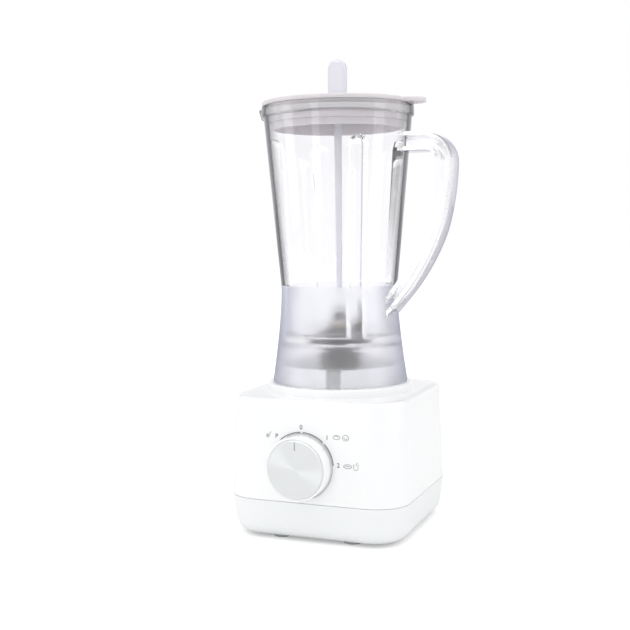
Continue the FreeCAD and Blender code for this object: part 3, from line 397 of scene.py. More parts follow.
# The tree sets one part at each corner of a rectangle.
at_corners = bpy.data.node_groups.new("part_at_each_corner", "GeometryNodeTree")
for label, kind in (("Part", "Object"), ("Across", "Float"), ("Along", "Float"),
                    ("Material", "Material")):
    at_corners.interface.new_socket(label, in_out="INPUT", socket_type=f"NodeSocket{kind}")
at_corners.interface.new_socket("Geometry", in_out="OUTPUT", socket_type="NodeSocketGeometry")
given = add(at_corners, "NodeGroupInput")
spots = add(at_corners, "GeometryNodeMeshGrid", {
    "Size X": given.outputs["Across"], "Size Y": given.outputs["Along"],
    "Vertices X": 2, "Vertices Y": 2})
part = add(at_corners, "GeometryNodeObjectInfo", {"Object": given.outputs["Part"]})
copies = add(at_corners, "GeometryNodeInstanceOnPoints", {
    "Points": spots.outputs["Mesh"], "Instance": part.outputs["Geometry"]})
whole = add(at_corners, "GeometryNodeRealizeInstances", {"Geometry": copies.outputs[0]})
painted = add(at_corners, "GeometryNodeSetMaterial", {
    "Geometry": whole.outputs[0], "Material": given.outputs["Material"]})
add(at_corners, "NodeGroupOutput", {"Geometry": painted.outputs[0]})


def four_of(shape, spot, material):
    """Four copies of a part, at plus and minus a spot across and along."""
    source = as_object(shape)
    mesh = grown(at_corners, {"Part": source, "Across": 2 * spot[0], "Along": 2 * spot[1],
                              "Material": material})
    bpy.data.objects.remove(source)
    return mesh


def screw(head_bottom, tip, head_radius, head_height):
    """A pan-head screw pointing up, with a cross recess and a coarse thread."""
    neck = head_bottom + head_height
    outline = [(0, head_bottom), (head_radius - 0.2, head_bottom, 1.4), (head_radius, neck, 0.4),
               (SHANK_RADIUS, neck)]
    for turn in range(int((tip - 2 - neck) / THREAD_PITCH)):
        height = neck + 1 + THREAD_PITCH * turn
        outline += [(SHANK_RADIUS - 0.5, height), (SHANK_RADIUS - 0.05, height + THREAD_PITCH / 2)]
    outline += [(SHANK_RADIUS - 0.6, tip - 1.5), (0, tip)]
    body = lathe(rounded(outline), 24)
    recess = [skin([square_ring(*half, 0.2, height, 2)
                    for height in (head_bottom - 1, head_bottom + 1.3)])
              for half in ((0.5, 2.3), (2.3, 0.5))]
    return combined(body, "DIFFERENCE", recess)


# Soft thermoplastic rubber: matt grey.
foot_rubber = moulded("grey_rubber", "#B4B7B8", 0.75, grain=0.9, depth=0.02)
# Zinc-plated steel: bright, faintly blue, with a fine mottle.
zinc_steel = moulded("zinc_plated_steel", "#C6C9CC", 0.3, grain=0.4, depth=0.003,
                     sockets={"Metallic": 1})

foot_low, foot_high = span("rubber_feet")
foot = lathe(rounded([(0, foot_low.z + 0.6), (4, foot_low.z + 0.6), (4.6, foot_low.z),
                      (FOOT_RADIUS - 1, foot_low.z, 0.6), (FOOT_RADIUS, cover_low.z),
                      (FOOT_RADIUS, foot_high.z), (0, foot_high.z)]), 48)
piece("rubber_feet", four_of(foot, FOOT_SPOT, foot_rubber), [], "base", "rubber", "rubber_feet")
screw_low, screw_high = span("cover_screws")
cover_screw = screw(screw_low.z, screw_high.z, head_radius=3.8, head_height=2.2)
piece("cover_screws", four_of(cover_screw, (SCREW_SPOT, SCREW_SPOT), zinc_steel), [],
      "base", "screw_steel", "cover_screws")

# ---- Upper housing ----
# The one-piece glossy white ABS housing: a square block with wide round corners that draws in
# slightly towards the top, over screw bosses, motor posts and a well for the coupling.

TOP_ROUND = 4.5
MOUNT_SPOT = (46, 14)
SEAT_SCREW_SPOT = (24, 24)
BOSS_RADIUS, POST_RADIUS, SEAT_POST_RADIUS = 4.6, 5, 4.2
POST_BOTTOM, SEAT_POST_BOTTOM = 101.2, 106
WELL_RADIUS, SPINDLE_HOLE_RADIUS = 21, 5.2

# Glossy white ABS: clean and bright with a mirror-like skin over a very faint mould grain.
gloss_abs = moulded("gloss_white_abs", "#FAFBFB", 0.16, grain=1.2, depth=0.0015,
                    sockets={"IOR": 1.54, "Coat Weight": 0.3, "Coat Roughness": 0.06})

housing_low, housing_high = span("upper_housing")
seam, top = cover_high.z + 0.3, housing_high.z
top_half = seam_half - 2.8
edge = [math.radians(angle) for angle in range(0, 91, 10)]
levels = [(seam_half - EDGE_BREAK, CORNER - EDGE_BREAK, seam),
          (seam_half, CORNER, seam + EDGE_BREAK)]
levels += [(top_half - TOP_ROUND * (1 - math.cos(angle)),
            CORNER - TOP_ROUND * (1 - math.cos(angle)),
            top - TOP_ROUND * (1 - math.sin(angle))) for angle in edge]
inside = [(top_half - TOP_ROUND, CORNER - TOP_ROUND, top - WALL),
          (top_half - WALL, CORNER - WALL, top - 5), (seam_half - WALL, CORNER - WALL, seam),
          (seam_half - WALL, CORNER - WALL, seam - 5)]
outer = skin([square_ring(half, half, corner, height) for half, corner, height in levels])
hollow = skin([square_ring(half, half, corner, height) for half, corner, height in inside])
housing = combined(outer, "DIFFERENCE", [hollow])
bosses = [rod(BOSS_RADIUS, housing_low.z, top - 1, spot) for spot in screw_spots]
bosses += [rod(POST_RADIUS, POST_BOTTOM, top - 1, spot) for spot in corners(MOUNT_SPOT)]
bosses += [rod(SEAT_POST_RADIUS, SEAT_POST_BOTTOM, top - 1, spot)
           for spot in corners(SEAT_SCREW_SPOT)]
housing = combined(housing, "UNION", bosses)
cuts = [rod(SHANK_RADIUS, housing_low.z - 1, housing_low.z + 12, spot) for spot in screw_spots]
cuts += [rod(SHANK_RADIUS, 100, 110, spot) for spot in corners(MOUNT_SPOT)]
cuts += [rod(SHANK_RADIUS, 108, top + 2, spot) for spot in corners(SEAT_SCREW_SPOT)]
cuts.append(rod(WELL_RADIUS, 105, top + 5, steps=64))
knob_low, knob_high = span("knob")
knob_middle = (knob_low + knob_high) / 2
AT_KNOB = (Matrix.Translation((knob_middle.x, 0, knob_middle.z))
           @ Matrix.Rotation(math.radians(90), 4, "X"))
cuts.append(moved(rod(SPINDLE_HOLE_RADIUS, 65, 85), AT_KNOB))
piece("upper_housing", combined(housing, "DIFFERENCE", cuts), [gloss_abs], "base", "white_plastic",
      "upper_housing")

# ---- Printed dial ----
# Grey pad printing on the housing's front: an arc with a gap at each speed, the speeds
# P, 0, 1 and 2, and small signs for what each speed is good for.

ARC_RADIUS, ARC_WIDTH = 27.4, 0.75
ARC_SPANS = ((-42, -2), (2, 42), (46, 85))
THIN_ARC_RADIUS, THIN_ARC_WIDTH = 26.5, 0.3
# The thin inner arc is print up to 90 degrees; from there to 165 it is a painted shadow line for
# the dark gap under the knob's rear edge.
THIN_ARC_AND_SHADOW_LINE_SPAN = (-28, 165)
FINE_WIDTH = 0.4
INK_THICKNESS, INK_SUNK = 0.05, 0.02
LABEL_SIZE = 5.2
# Middles of the labels and signs, in millimetres across and up from the knob's axis.
LABELS = (("P", (-21.7, 23.2)), ("0", (-0.4, 31.4)), ("1", (21.9, 24.3)), ("2", (31.6, 2.8)))
ICE, BEAN, FRUIT, LEAF, CUP = (-29.5, 23.2), (29.9, 25.2), (37.6, 25.1), (39.4, 2.6), (46.3, 2.6)

# Pad-printing ink: a flat mid grey with a dull shine, a hair thicker in places; the same grey
# paints the shadow line under the knob's rear edge.
ink_and_shadow_paint = moulded("grey_ink_and_painted_shadow", "#6F7574", 0.55, grain=0.3, depth=0.01)


def front_wall(height):
    """How far the drafted front wall stands in front of the motor axis at a height."""
    share = (height - seam - EDGE_BREAK) / (top - TOP_ROUND - seam - EDGE_BREAK)
    return seam_half + (top_half - seam_half) * share


def stroke(points, width):
    """A flat line of ink of even width along points across the front, as a strip of quads."""
    half, rows = width / 2, []
    for number, point in enumerate(points):
        along = points[min(number + 1, len(points) - 1)] - points[max(number - 1, 0)]
        side = Vector((-along.y, along.x)).normalized() * half
        rows.append((point + side, point - side))
    return rows


def print_strip(shape, rows):
    """Lay a strip on the front wall as a closed film of ink."""
    loops = []
    for left, right in rows:
        for spot, lift in ((left, INK_THICKNESS), (right, INK_THICKNESS), (right, -INK_SUNK),
                           (left, -INK_SUNK)):
            across, up = knob_middle.x + spot.x, knob_middle.z + spot.y
            loops.append(shape.verts.new((across, -front_wall(up) - lift, up)))
    count = len(rows)
    for row in range(count - 1):
        here, there = loops[4 * row:4 * row + 4], loops[4 * row + 4:4 * row + 8]
        for side in range(4):
            after = (side + 1) % 4
            shape.faces.new((here[side], here[after], there[after], there[side]))
    shape.faces.new(loops[:4])
    shape.faces.new(loops[-4:])


def arc(radius, start, end, centre=(0, 0), squash=1.0, step=3):
    """Points round a circle or, with squash, an oval; 0 degrees is up and turns clockwise."""
    count = max(2, int(abs(end - start) / step))
    turns = [math.radians(start + (end - start) * number / count) for number in range(count + 1)]
    return [Vector((centre[0] + radius * math.sin(turn),
                    centre[1] + radius * squash * math.cos(turn))) for turn in turns]


def polyline(*points, at):
    """Points stated from the middle of a sign."""
    return [Vector((at[0] + across, at[1] + up)) for across, up in points]


strips = [stroke(arc(ARC_RADIUS, start, end), ARC_WIDTH) for start, end in ARC_SPANS]
strips.append(stroke(arc(THIN_ARC_RADIUS, *THIN_ARC_AND_SHADOW_LINE_SPAN), THIN_ARC_WIDTH))
fine_lines = []
for turn in (0, 60, 120):
    way = Vector((math.sin(math.radians(turn)), math.cos(math.radians(turn)))) * 2.1
    fine_lines.append([Vector(ICE) - way, Vector(ICE), Vector(ICE) + way])
fine_lines += [
    polyline((1.2, 1.4), (2.2, 2.2), (2.9, 3.4), at=ICE),
    arc(3, 0, 360, BEAN, 0.55, 20), arc(1.4, -90, 90, BEAN, 0.6, 30),
    arc(2.6, 0, 360, FRUIT, 0.85, 20), arc(1.3, 60, 300, FRUIT, 0.85, 30),
    arc(3.5, 0, 360, LEAF, 0.45, 20), polyline((-2.4, 0), (0, 0.25), (2.4, 0), at=LEAF),
    polyline((-1.9, 2.2), (-1.7, -1.6), (-1.1, -2.3), (1.1, -2.3), (1.7, -1.6), (1.9, 2.2), at=CUP),
    polyline((-0.2, 0.8), (0.6, 2.6), (1.6, 3.6), at=CUP)]
strips += [stroke(points, FINE_WIDTH) for points in fine_lines]
dial = bmesh.new()
for strip in strips:
    print_strip(dial, strip)

for word, spot in LABELS:
    curve = bpy.data.curves.new("label", "FONT")
    curve.body = word
    curve.size = LABEL_SIZE
    curve.align_x = "CENTER"
    curve.align_y = "CENTER"
    curve.extrude = (INK_THICKNESS + INK_SUNK) / 2
    curve.resolution_u = 4
    curve.offset = 0.07
    label = bpy.data.objects.new("label", curve)
    bpy.context.scene.collection.objects.link(label)
    letters = bmesh.new()
    letters.from_mesh(evaluated(label))
    for corner in letters.verts:
        across, up = knob_middle.x + spot[0] + corner.co.x, knob_middle.z + spot[1] + corner.co.y
        corner.co = (across, -front_wall(up) - corner.co.z - INK_THICKNESS / 2, up)
    scratch = bpy.data.meshes.new("label")
    letters.to_mesh(scratch)
    dial.from_mesh(scratch)
bmesh.ops.remove_doubles(dial, verts=dial.verts, dist=1e-4)
bmesh.ops.recalc_face_normals(dial, faces=dial.faces)
piece("printed_dial", dial, [ink_and_shadow_paint], "base", "black_plastic")

# ---- Jar seat ----
# A white ABS ring screwed to the housing.  Its low outer ring guides the jar's skirt, and the
# castellated boss inside centres it; four screws hold it from above.

GAP_TURN, GAP_WIDTH = 14, 12
SEAT_HOLE, COLLAR_RADIUS = 20, 22.4
BOSS_INNER, BOSS_OUTER = 46.6, 49.8
RING_WIDTH = 6.7

seat_low, seat_high = span("jar_seat")
outer_ring = seat_high.x
ring_top, seat_floor = 123.7, 119.4
seat = lathe(rounded([
    (SEAT_HOLE, seat_low.z), (outer_ring, seat_low.z), (outer_ring, ring_top, 1.8),
    (outer_ring - RING_WIDTH, ring_top, 1), (outer_ring - RING_WIDTH, seat_floor, 0.6),
    (BOSS_OUTER + 1, seat_floor, 0.8), (BOSS_OUTER, seat_high.z, 1.2),
    (BOSS_INNER, seat_high.z, 1), (BOSS_INNER, seat_floor, 1), (COLLAR_RADIUS, seat_floor, 0.8),
    (COLLAR_RADIUS, seat_floor + 4, 0.6), (SEAT_HOLE, seat_floor + 4, 0.6)]), 144)
cuts = [rod(2, 100, 130, spot) for spot in corners(SEAT_SCREW_SPOT)]
for number in range(4):
    turn = Matrix.Rotation(math.radians(GAP_TURN + 90 * number), 4, "Z")
    gap = skin([square_ring(GAP_WIDTH / 2, GAP_WIDTH / 2, 1, height, 4)
                for height in (seat_floor, seat_high.z + 5)])
    cuts.append(moved(gap, turn @ Matrix.Translation((0, -BOSS_OUTER, 0))))
piece("jar_seat", combined(seat, "DIFFERENCE", cuts), [gloss_abs], "base", "seat_plastic",
      "jar_seat")

seat_screw_low, seat_screw_high = span("seat_screws")
UPSIDE_DOWN = (Matrix.Translation((0, 0, seat_screw_low.z + seat_screw_high.z))
               @ Matrix.Rotation(math.pi, 4, "X"))
seat_screw = screw(seat_screw_low.z, seat_screw_high.z, head_radius=3.6, head_height=2)
moved(seat_screw, UPSIDE_DOWN)
piece("seat_screws", four_of(seat_screw, SEAT_SCREW_SPOT, zinc_steel), [], "base", "screw_steel",
      "seat_screws")

# ---- Knob ----
# A turned white ABS body with an inlaid aluminium disc, spun so that its grooves run round
# it, and a short printed pointer that shows the speed.

KNOB_RADIUS = 26
FACE_RADIUS = 24
BORE_RADIUS, HUB_RADIUS, KNOB_WALL = 3, 7, 3
POINTER_HALF_WIDTH, POINTER_HALF_LENGTH, POINTER_MIDDLE = 0.3, 3.4, 18.6

knob_back, knob_front = -knob_high.y, -knob_low.y
knob = lathe(rounded([
    (BORE_RADIUS, knob_back + 8), (BORE_RADIUS, knob_back), (HUB_RADIUS, knob_back),
    (HUB_RADIUS, knob_back + 6), (KNOB_RADIUS - KNOB_WALL, knob_back + 6),
    (KNOB_RADIUS - KNOB_WALL, knob_back), (KNOB_RADIUS, knob_back, 0.6),
    (KNOB_RADIUS - 0.3, knob_front, 1.6), (FACE_RADIUS + 0.05, knob_front, 0.25),
    (FACE_RADIUS + 0.05, knob_front - 0.8), (0, knob_front - 0.8), (0, knob_back + 8)]), 128)
piece("knob", moved(knob, AT_KNOB), [gloss_abs], "speed_knob", "white_plastic", "knob")

# Spun aluminium: fine grooves round the centre spread its highlights into two bright fans.
spun_aluminium, tree, shader = new_material("spun_aluminium", "#E4E6E7", 0.24, {
    "Metallic": 1, "Anisotropic": 0.85})
grooves = add(tree, "ShaderNodeTangent", direction_type="RADIAL", axis="Y")
tree.links.new(grooves.outputs[0], shader.inputs["Tangent"])
place = add(tree, "ShaderNodeTexCoord")
centred = add(tree, "ShaderNodeVectorMath", {
    0: place.outputs["Object"], 1: TO_FRAME @ Vector((knob_middle.x, 0, knob_middle.z))},
    operation="SUBTRACT")
flat = add(tree, "ShaderNodeVectorMath", {0: centred.outputs[0], 1: (1, 0, 1)},
           operation="MULTIPLY")
distance = add(tree, "ShaderNodeVectorMath", {0: flat.outputs[0]}, operation="LENGTH")
# The grooves are 0.12 mm apart, drawn as an uneven row of rings 0.35 mm apart so that they show.
ring_noise = add(tree, "ShaderNodeTexNoise", {
    "W": distance.outputs["Value"], "Scale": 1 / (0.35 * MM), "Detail": 2}, noise_dimensions="1D")
engrave(tree, shader, ring_noise.outputs[0], 0.003)

face_low, face_high = span("knob_face_plate")
plate_back, plate_front = -face_high.y, -face_low.y
plate_face = plate_front - 0.04
plate = lathe(rounded([(0, plate_back), (FACE_RADIUS, plate_back),
                       (FACE_RADIUS, plate_face - 0.15, 0.4), (FACE_RADIUS - 1.2, plate_face, 0.6),
                       (0, plate_face)]), 128)
piece("knob_face_plate", moved(plate, AT_KNOB), [spun_aluminium], "speed_knob", "knob_metal",
      "knob_face_plate")
pointer = skin([square_ring(POINTER_HALF_WIDTH, POINTER_HALF_LENGTH, 0.28, height, 3)
                for height in (plate_face - 0.1, plate_front)])
moved(pointer, AT_KNOB @ Matrix.Translation((0, POINTER_MIDDLE, 0)))
piece("knob_pointer", pointer, [ink_and_shadow_paint], "speed_knob", "black_plastic")

# ---- Cord gland ----
# A ribbed white gland in the back wall, through which the mains lead leaves the base.

gland_back = gland_high.y
flange = seam_half + 0.05
CORD_HOLE, FLANGE_RADIUS, GLAND_RIB_PITCH = 3.6, 9.5, 2.4
outline = [(CORD_HOLE, 60), (GLAND_RADIUS, 60), (GLAND_RADIUS, flange),
           (FLANGE_RADIUS, flange, 0.3), (FLANGE_RADIUS, flange + 3, 0.8)]
for number in range(4):
    reach = flange + 3.2 + GLAND_RIB_PITCH * number
    outline += [(7.6 - 0.3 * number, reach, 0.3), (7.6 - 0.3 * number, reach + 1.4, 0.3),
                (6.2 - 0.2 * number, reach + 1.5),
                (6.2 - 0.2 * number, reach + GLAND_RIB_PITCH - 0.1)]
outline += [(5.2, gland_back, 0.4), (CORD_HOLE, gland_back, 0.4)]
gland = lathe(rounded(outline, 3), 64)
moved(gland, AT_GLAND)
piece("cord_gland", gland, [satin_abs], "base", "white_plastic", "cord_gland")

# ---- Jar ----
# Injection-moulded clear styrene jar: four solid ribs inside break up the swirl, a lip pours,
# and the hollow skirt below the blades is frosted by a grained mould.

RIB_RADIUS, RIB_TURN, RIB_LEAN = 8.5, 36.5, math.radians(3.4)
RIB_FOOT = (46.3, 160)
RIB_TOP = 320
FROST_LINE = 206.2
SPOUT_START, SPOUT_HALF_WIDTH = 322, math.radians(17)
SIDE_COLUMNS, RIB_COLUMNS = 13, 20

jar_low, jar_high = span("jar_body")
rim = jar_high.x
spout_reach = -jar_low.x - rim


def divided(start, end, longest=5):
    """Points after start on a straight run, close enough for ribs and spout to bend smoothly."""
    start, end = Vector(start), Vector(end)
    count = max(1, math.ceil((end - start).length / longest))
    return [start.lerp(end, number / count) for number in range(1, count)] + [end]


def through(start, middle, end, steps=16):
    """Points on the smooth curve from start to end that passes through the middle point."""
    start, middle, end = Vector(start), Vector(middle), Vector(end)
    control = 2 * middle - (start + end) / 2
    return [(1 - share) ** 2 * start + 2 * share * (1 - share) * control + share ** 2 * end
            for share in (number / steps for number in range(steps + 1))]


def rib_half_angle(radius, height):
    """Where a wall of this radius meets a rib: half the angle that the rib takes up, how far its
    axis stands from the jar's, and the rib's own radius, which its dome shrinks to nothing."""
    distance = RIB_FOOT[0] + (height - RIB_FOOT[1]) * math.tan(RIB_LEAN)
    above = max(0, height - RIB_TOP)
    thickness = math.sqrt(max(0, RIB_RADIUS ** 2 - above ** 2))
    if thickness <= abs(radius - distance) or radius < distance - thickness:
        return 0, distance, 0
    cosine = (distance ** 2 + radius ** 2 - thickness ** 2) / (2 * distance * radius)
    return math.acos(max(-1, min(1, cosine))), distance, thickness


def jar_ring(radius, height, ribbed):
    """One ring of the jar's surface, with the ribs on the inside and the pouring lip."""
    half, distance, thickness = rib_half_angle(radius, height) if ribbed else (0, 0, 0)
    grid_half = max(half, math.radians(3)) if ribbed else math.radians(8)
    quarter = math.radians(45)
    side = (quarter - grid_half) / SIDE_COLUMNS
    offsets = [-quarter + side * number for number in range(SIDE_COLUMNS)]
    offsets += [-grid_half + 2 * grid_half * number / RIB_COLUMNS for number in range(RIB_COLUMNS)]
    offsets += [grid_half + side * number for number in range(SIDE_COLUMNS)]
    ring = []
    for rib in range(4):
        for offset in offsets:
            turn = math.radians(RIB_TURN + 90 * rib) + offset
            reach = radius
            if abs(offset) < half:
                inner = distance * math.cos(offset) - math.sqrt(
                    max(0, thickness ** 2 - (distance * math.sin(offset)) ** 2))
                reach = min(radius, inner)
            if height > SPOUT_START and radius > 40:
                rise = (height - SPOUT_START) / (jar_high.z - SPOUT_START)
                away = abs(turn % math.tau - math.pi) / SPOUT_HALF_WIDTH
                if away < 1:
                    reach += spout_reach * rise ** 1.6 * (0.5 + 0.5 * math.cos(math.pi * away))
            ring.append((reach * math.cos(turn), reach * math.sin(turn), height))
    return ring


outside = [*through((57.7, jar_low.z), (51.8, 168), (49.5, 201)), Vector((50.1, 210))]
outside += divided((50.1, 210), (62.6, 346.5))
outside += [Vector(point) for point in (
    (rim - 0.5, 347.4), (rim, 348.6), (rim, 352), (rim, jar_high.z - 1),
    (rim - 0.3, jar_high.z - 0.3), (rim - 1, jar_high.z))]
inside = [Vector((61.6, jar_high.z)), Vector((61, jar_high.z - 0.6)), Vector((60, 346.5))]
inside += divided((60, 346.5), (58.9, 334.5))
inside += divided((58.9, 334.5), (57.3, 317), 1)
inside += divided((57.3, 317), (47.5, 210))
inside += through((46.9, 201), (47.9, 184), (49.4, 168))
inside += through((49.4, 168), (47.9, 164.1), (44, 162.5), 6)[1:]
plain = [Vector((11.7, 162.5)), Vector((11.7, 159.5))]
plain += through((44, 159.5), (48.6, 157.9), (50.9, 153.5), 6)
plain += through((51, 152), (52.5, 139), (55.1, jar_low.z + 0.6))
plain += [Vector((55.8, jar_low.z)), Vector((57.2, jar_low.z))]


def with_row(points, height):
    """Add a row of points where an outline crosses a height."""
    result = [points[0]]
    for start, end in zip(points, points[1:]):
        if min(start.y, end.y) < height < max(start.y, end.y):
            result.append(start.lerp(end, (height - start.y) / (end.y - start.y)))
        result.append(end)
    return result


rings = [jar_ring(*point, False) for point in with_row(outside, FROST_LINE)]
rings += [jar_ring(*point, True) for point in with_row(inside, FROST_LINE)]
rings += [jar_ring(*point, False) for point in plain]
jar = skin(rings, loop=True)
for face in jar.faces:
    middle = face.calc_center_median()
    looks_out = face.normal.xy.dot(middle.xy) > 0.3 * middle.xy.length
    frosted = middle.z < FROST_LINE and abs(face.normal.z) < 0.7
    face.material_index = 2 * int(not looks_out) + int(frosted)


def clear_plastic(name, colour, painted_edge_shade, roughness, ior=1.52, clear=1, edge=(0.5, 0.9),
                  grain=0):
    """Clear moulding: near white face on, and painted a darker shade where the eye enters it along
    the wall.
    Lamplight passes through it, as through thin clear plastic; a grain, in mm, frosts it."""
    material, tree, shader = new_material(name, colour, roughness,
                                          {"Transmission Weight": clear, "IOR": ior})
    path = add(tree, "ShaderNodeLightPath")
    entering = add(tree, "ShaderNodeMath", {0: path.outputs["Transmission Depth"], 1: 0.5},
                   operation="LESS_THAN")
    facing = add(tree, "ShaderNodeLayerWeight", {"Blend": 0.5})
    edge_on = add(tree, "ShaderNodeMath", {0: facing.outputs["Facing"], 1: entering.outputs[0]},
                  operation="MULTIPLY")
    # Painted shade: the colour runs from the face colour to a darker shade where the wall is seen
    # edge on.
    edge_shade_ramp = add(tree, "ShaderNodeValToRGB", {"Fac": edge_on.outputs[0]})
    for stop, position, shade in zip(edge_shade_ramp.color_ramp.elements, edge, (colour, painted_edge_shade)):
        stop.position = position
        stop.color = linear(shade)
    tree.links.new(edge_shade_ramp.outputs[0], shader.inputs["Base Color"])
    if grain:
        place = add(tree, "ShaderNodeTexCoord")
        frost = add(tree, "ShaderNodeTexNoise", {
            "Vector": place.outputs["Object"], "Scale": 1 / (grain * MM), "Detail": 2})
        engrave(tree, shader, frost.outputs[0], 0.02)
    let_through = add(tree, "ShaderNodeBsdfTransparent", {"Color": linear("#FAFAFC")})
    mixed = add(tree, "ShaderNodeMixShader", {
        0: path.outputs["Is Shadow Ray"], 1: shader.outputs[0], 2: let_through.outputs[0]})
    output = next(node for node in tree.nodes if node.type == "OUTPUT_MATERIAL")
    tree.links.new(mixed.outputs[0], output.inputs["Surface"])
    return material


# Clear styrene acrylonitrile: glass-like, with a painted dark line of shade where its wall is seen
# edge on, and a faint one on the inner face.
clear_outer = clear_plastic("clear_styrene", "#FEFEFF", "#03030A", 0.02, edge=(0.42, 0.66))
clear_inner = clear_plastic("clear_styrene_inner_face", "#FEFEFF", "#F8F8FC", 0.02)
# The same styrene where the mould was grained: it glows softly and blurs what lies behind it, and
# is painted a blue-grey shade where its outer wall is seen edge on, a faint one on the inner.
frosted_outer = clear_plastic("frosted_styrene", "#FAFAFD", "#7E84A8", 0.34,
                              clear=0.88, edge=(0.2, 0.9), grain=0.5)
frosted_inner = clear_plastic("frosted_styrene_inner_face", "#FAFAFD", "#F2F2F8", 0.2,
                              clear=0.97, edge=(0.2, 0.9), grain=0.5)
piece("jar_body", jar, [clear_outer, frosted_outer, clear_inner, frosted_inner], "jar",
      "clear_jar", "jar_body", sharp=35)

# ---- Handle ----
# Clear styrene handle welded to the jar: two broad flanges joined by a thin web, with every
# edge eased for the hand.


def eased(node, radius):
    """A merged copy of a frame piece with its sharp edges rounded."""
    copy = bmesh.new()
    copy.from_mesh(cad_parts[node].data)
    moved(copy, TO_FRAME.inverted())
    bmesh.ops.remove_doubles(copy, verts=copy.verts, dist=0.005)
    bmesh.ops.dissolve_limit(copy, angle_limit=math.radians(1), verts=copy.verts, edges=copy.edges)
    thing = as_object(copy)
    bevel = thing.modifiers.new("eased_edges", "BEVEL")
    bevel.width = radius
    bevel.segments = 2
    bevel.limit_method = "ANGLE"
    bevel.angle_limit = math.radians(35)
    result = bmesh.new()
    result.from_mesh(evaluated(thing))
    return result


# Thick clear styrene: the plastic's own faint violet, deepened to a painted dark violet-grey shade
# where its wall is seen edge on.
clear_handle = clear_plastic("clear_styrene_handle", "#FDFDFF", "#25235C", 0.03, edge=(0.58, 0.92))
piece("jar_handle", eased("jar_handle", 0.6), [clear_handle], "jar", "clear_handle", "jar_handle")

# ---- Lid ----
# A stepped plug in pale grey polypropylene: the top flange rests on the jar's rim, three
# steps go down inside it, and a rounded tab over the handle lifts it off.

TAB_HALF_WIDTH = 13
LID_COLUMNS = 240
PLUG_EDGE = 61.5

lid_low, lid_high = span("lid")
flange_top = 359.9
flange_under = 356.3
lid_radius = -lid_low.x


def lid_edge(radius, turn):
    """Radius of the flange's edge, which runs out into the tab at the handle's side."""
    tip = lid_high.x - TAB_HALF_WIDTH
    across = tip * math.sin(turn)
    if math.cos(turn) < 0 or abs(across) >= TAB_HALF_WIDTH:
        return radius
    reach = tip * math.cos(turn) + math.sqrt(TAB_HALF_WIDTH ** 2 - across ** 2)
    return max(radius, reach - (lid_radius - radius))


# From the collar's bore down the inside of the skirt, up its steps, round the flange, and back.
outline = [
    (3.8, 355.9), (53.5, 355.9, 1.5), (53.5, lid_low.z, 0.6), (56, lid_low.z, 0.8),
    (56, 342.3, 0.5), (58.4, 342.3, 0.7), (58.4, 347.3, 0.5), (59, 347.3, 0.2), (59, 349),
    (59, 353.5), (59, 355.3, 0.3), (61, flange_under, 0.2), (lid_radius, flange_under, 0.8),
    (lid_radius, flange_top, 1.3), (44, flange_top, 3), (43, flange_top - 0.9, 2),
    (16, flange_top - 0.9, 3), (13.2, flange_top, 2), (12.5, lid_high.z, 1.2),
    (3.8, lid_high.z, 0.6)]
turns = [math.tau * column / LID_COLUMNS for column in range(LID_COLUMNS)]
rings = []
for radius, height in rounded(outline):
    reaches = [lid_edge(radius, turn) if radius > PLUG_EDGE else radius for turn in turns]
    rings.append([(reach * math.cos(turn), reach * math.sin(turn), height)
                  for turn, reach in zip(turns, reaches)])
lid = skin(rings, loop=True)
# Polypropylene: slightly waxy and translucent, in a warm pale grey.
lid_plastic = moulded("pale_grey_polypropylene", "#D6D2D5", 0.28, grain=0.8, depth=0.002,
                      sockets={"IOR": 1.49, "Subsurface Weight": 0.5, "Subsurface Scale": 1,
                               "Subsurface Radius": (8 * MM, 7 * MM, 7 * MM)})
piece("lid", lid, [lid_plastic], "lid", "lid_plastic", "lid")

# Silicone seal ring in the lid's groove, pressed against the jar's wall.
silicone = moulded("clear_silicone", "#DCDADB", 0.45, grain=0.7, depth=0.004,
                   sockets={"IOR": 1.42})
SEAL_GROOVE = 59.05
seal_low, seal_high = span("lid_seal")
seal_middle = (seal_low.z + seal_high.z) / 2
seal = lathe(rounded([(SEAL_GROOVE, seal_low.z, 0.3), (seal_high.x, seal_low.z, 0.5),
                      (seal_high.x - 0.5, seal_middle), (seal_high.x, seal_high.z, 0.5),
                      (SEAL_GROOVE, seal_high.z, 0.3)], 3), 160)
piece("lid_seal", seal, [silicone], "lid", "clear_seal", "lid_seal")

# ---- Stirrer ----
# One translucent moulding: a flat tongue to hold, a round stop that rests on the lid's
# collar, and a long stem that tapers down into the jar.

STOP_RADIUS, STOP_BOTTOM = 7, 364.3
TIP_RADIUS, STEM_RADIUS = 2.4, 3.4
GRIP_HALF_WIDTH, GRIP_HALF_THICKNESS = 8.25, 3


def round_ring(radius, height):
    """A ring of the stem, with as many points as the grip's rings."""
    return square_ring(radius, radius, radius * 0.999, height, 6)


stirrer_low, stirrer_high = span("stirrer")
rings = []
for angle in range(0, 90, 15):
    reach = TIP_RADIUS * math.sin(math.radians(angle + 10))
    rise = TIP_RADIUS * (1 - math.cos(math.radians(angle)))
    rings.append(round_ring(reach, stirrer_low.z + rise))
for height in (240, 290, 330, STOP_BOTTOM - 1.5):
    share = (height - stirrer_low.z) / (STOP_BOTTOM - stirrer_low.z)
    rings.append(round_ring(TIP_RADIUS + (STEM_RADIUS - TIP_RADIUS) * share, height))
rings += [round_ring(reach, STOP_BOTTOM + rise) for reach, rise in (
    (STEM_RADIUS, -0.01), (STOP_RADIUS - 0.4, 0), (STOP_RADIUS, 0.4), (STOP_RADIUS, 1.6),
    (STOP_RADIUS - 0.4, 2))]
for inset, corner, rise in ((1.5, 0.98, 2.2), (0.4, 0.9, 3.4), (0, 0.85, 5)):
    rings.append(square_ring(GRIP_HALF_WIDTH - inset, GRIP_HALF_THICKNESS,
                             GRIP_HALF_THICKNESS * corner, STOP_BOTTOM + rise, 6))
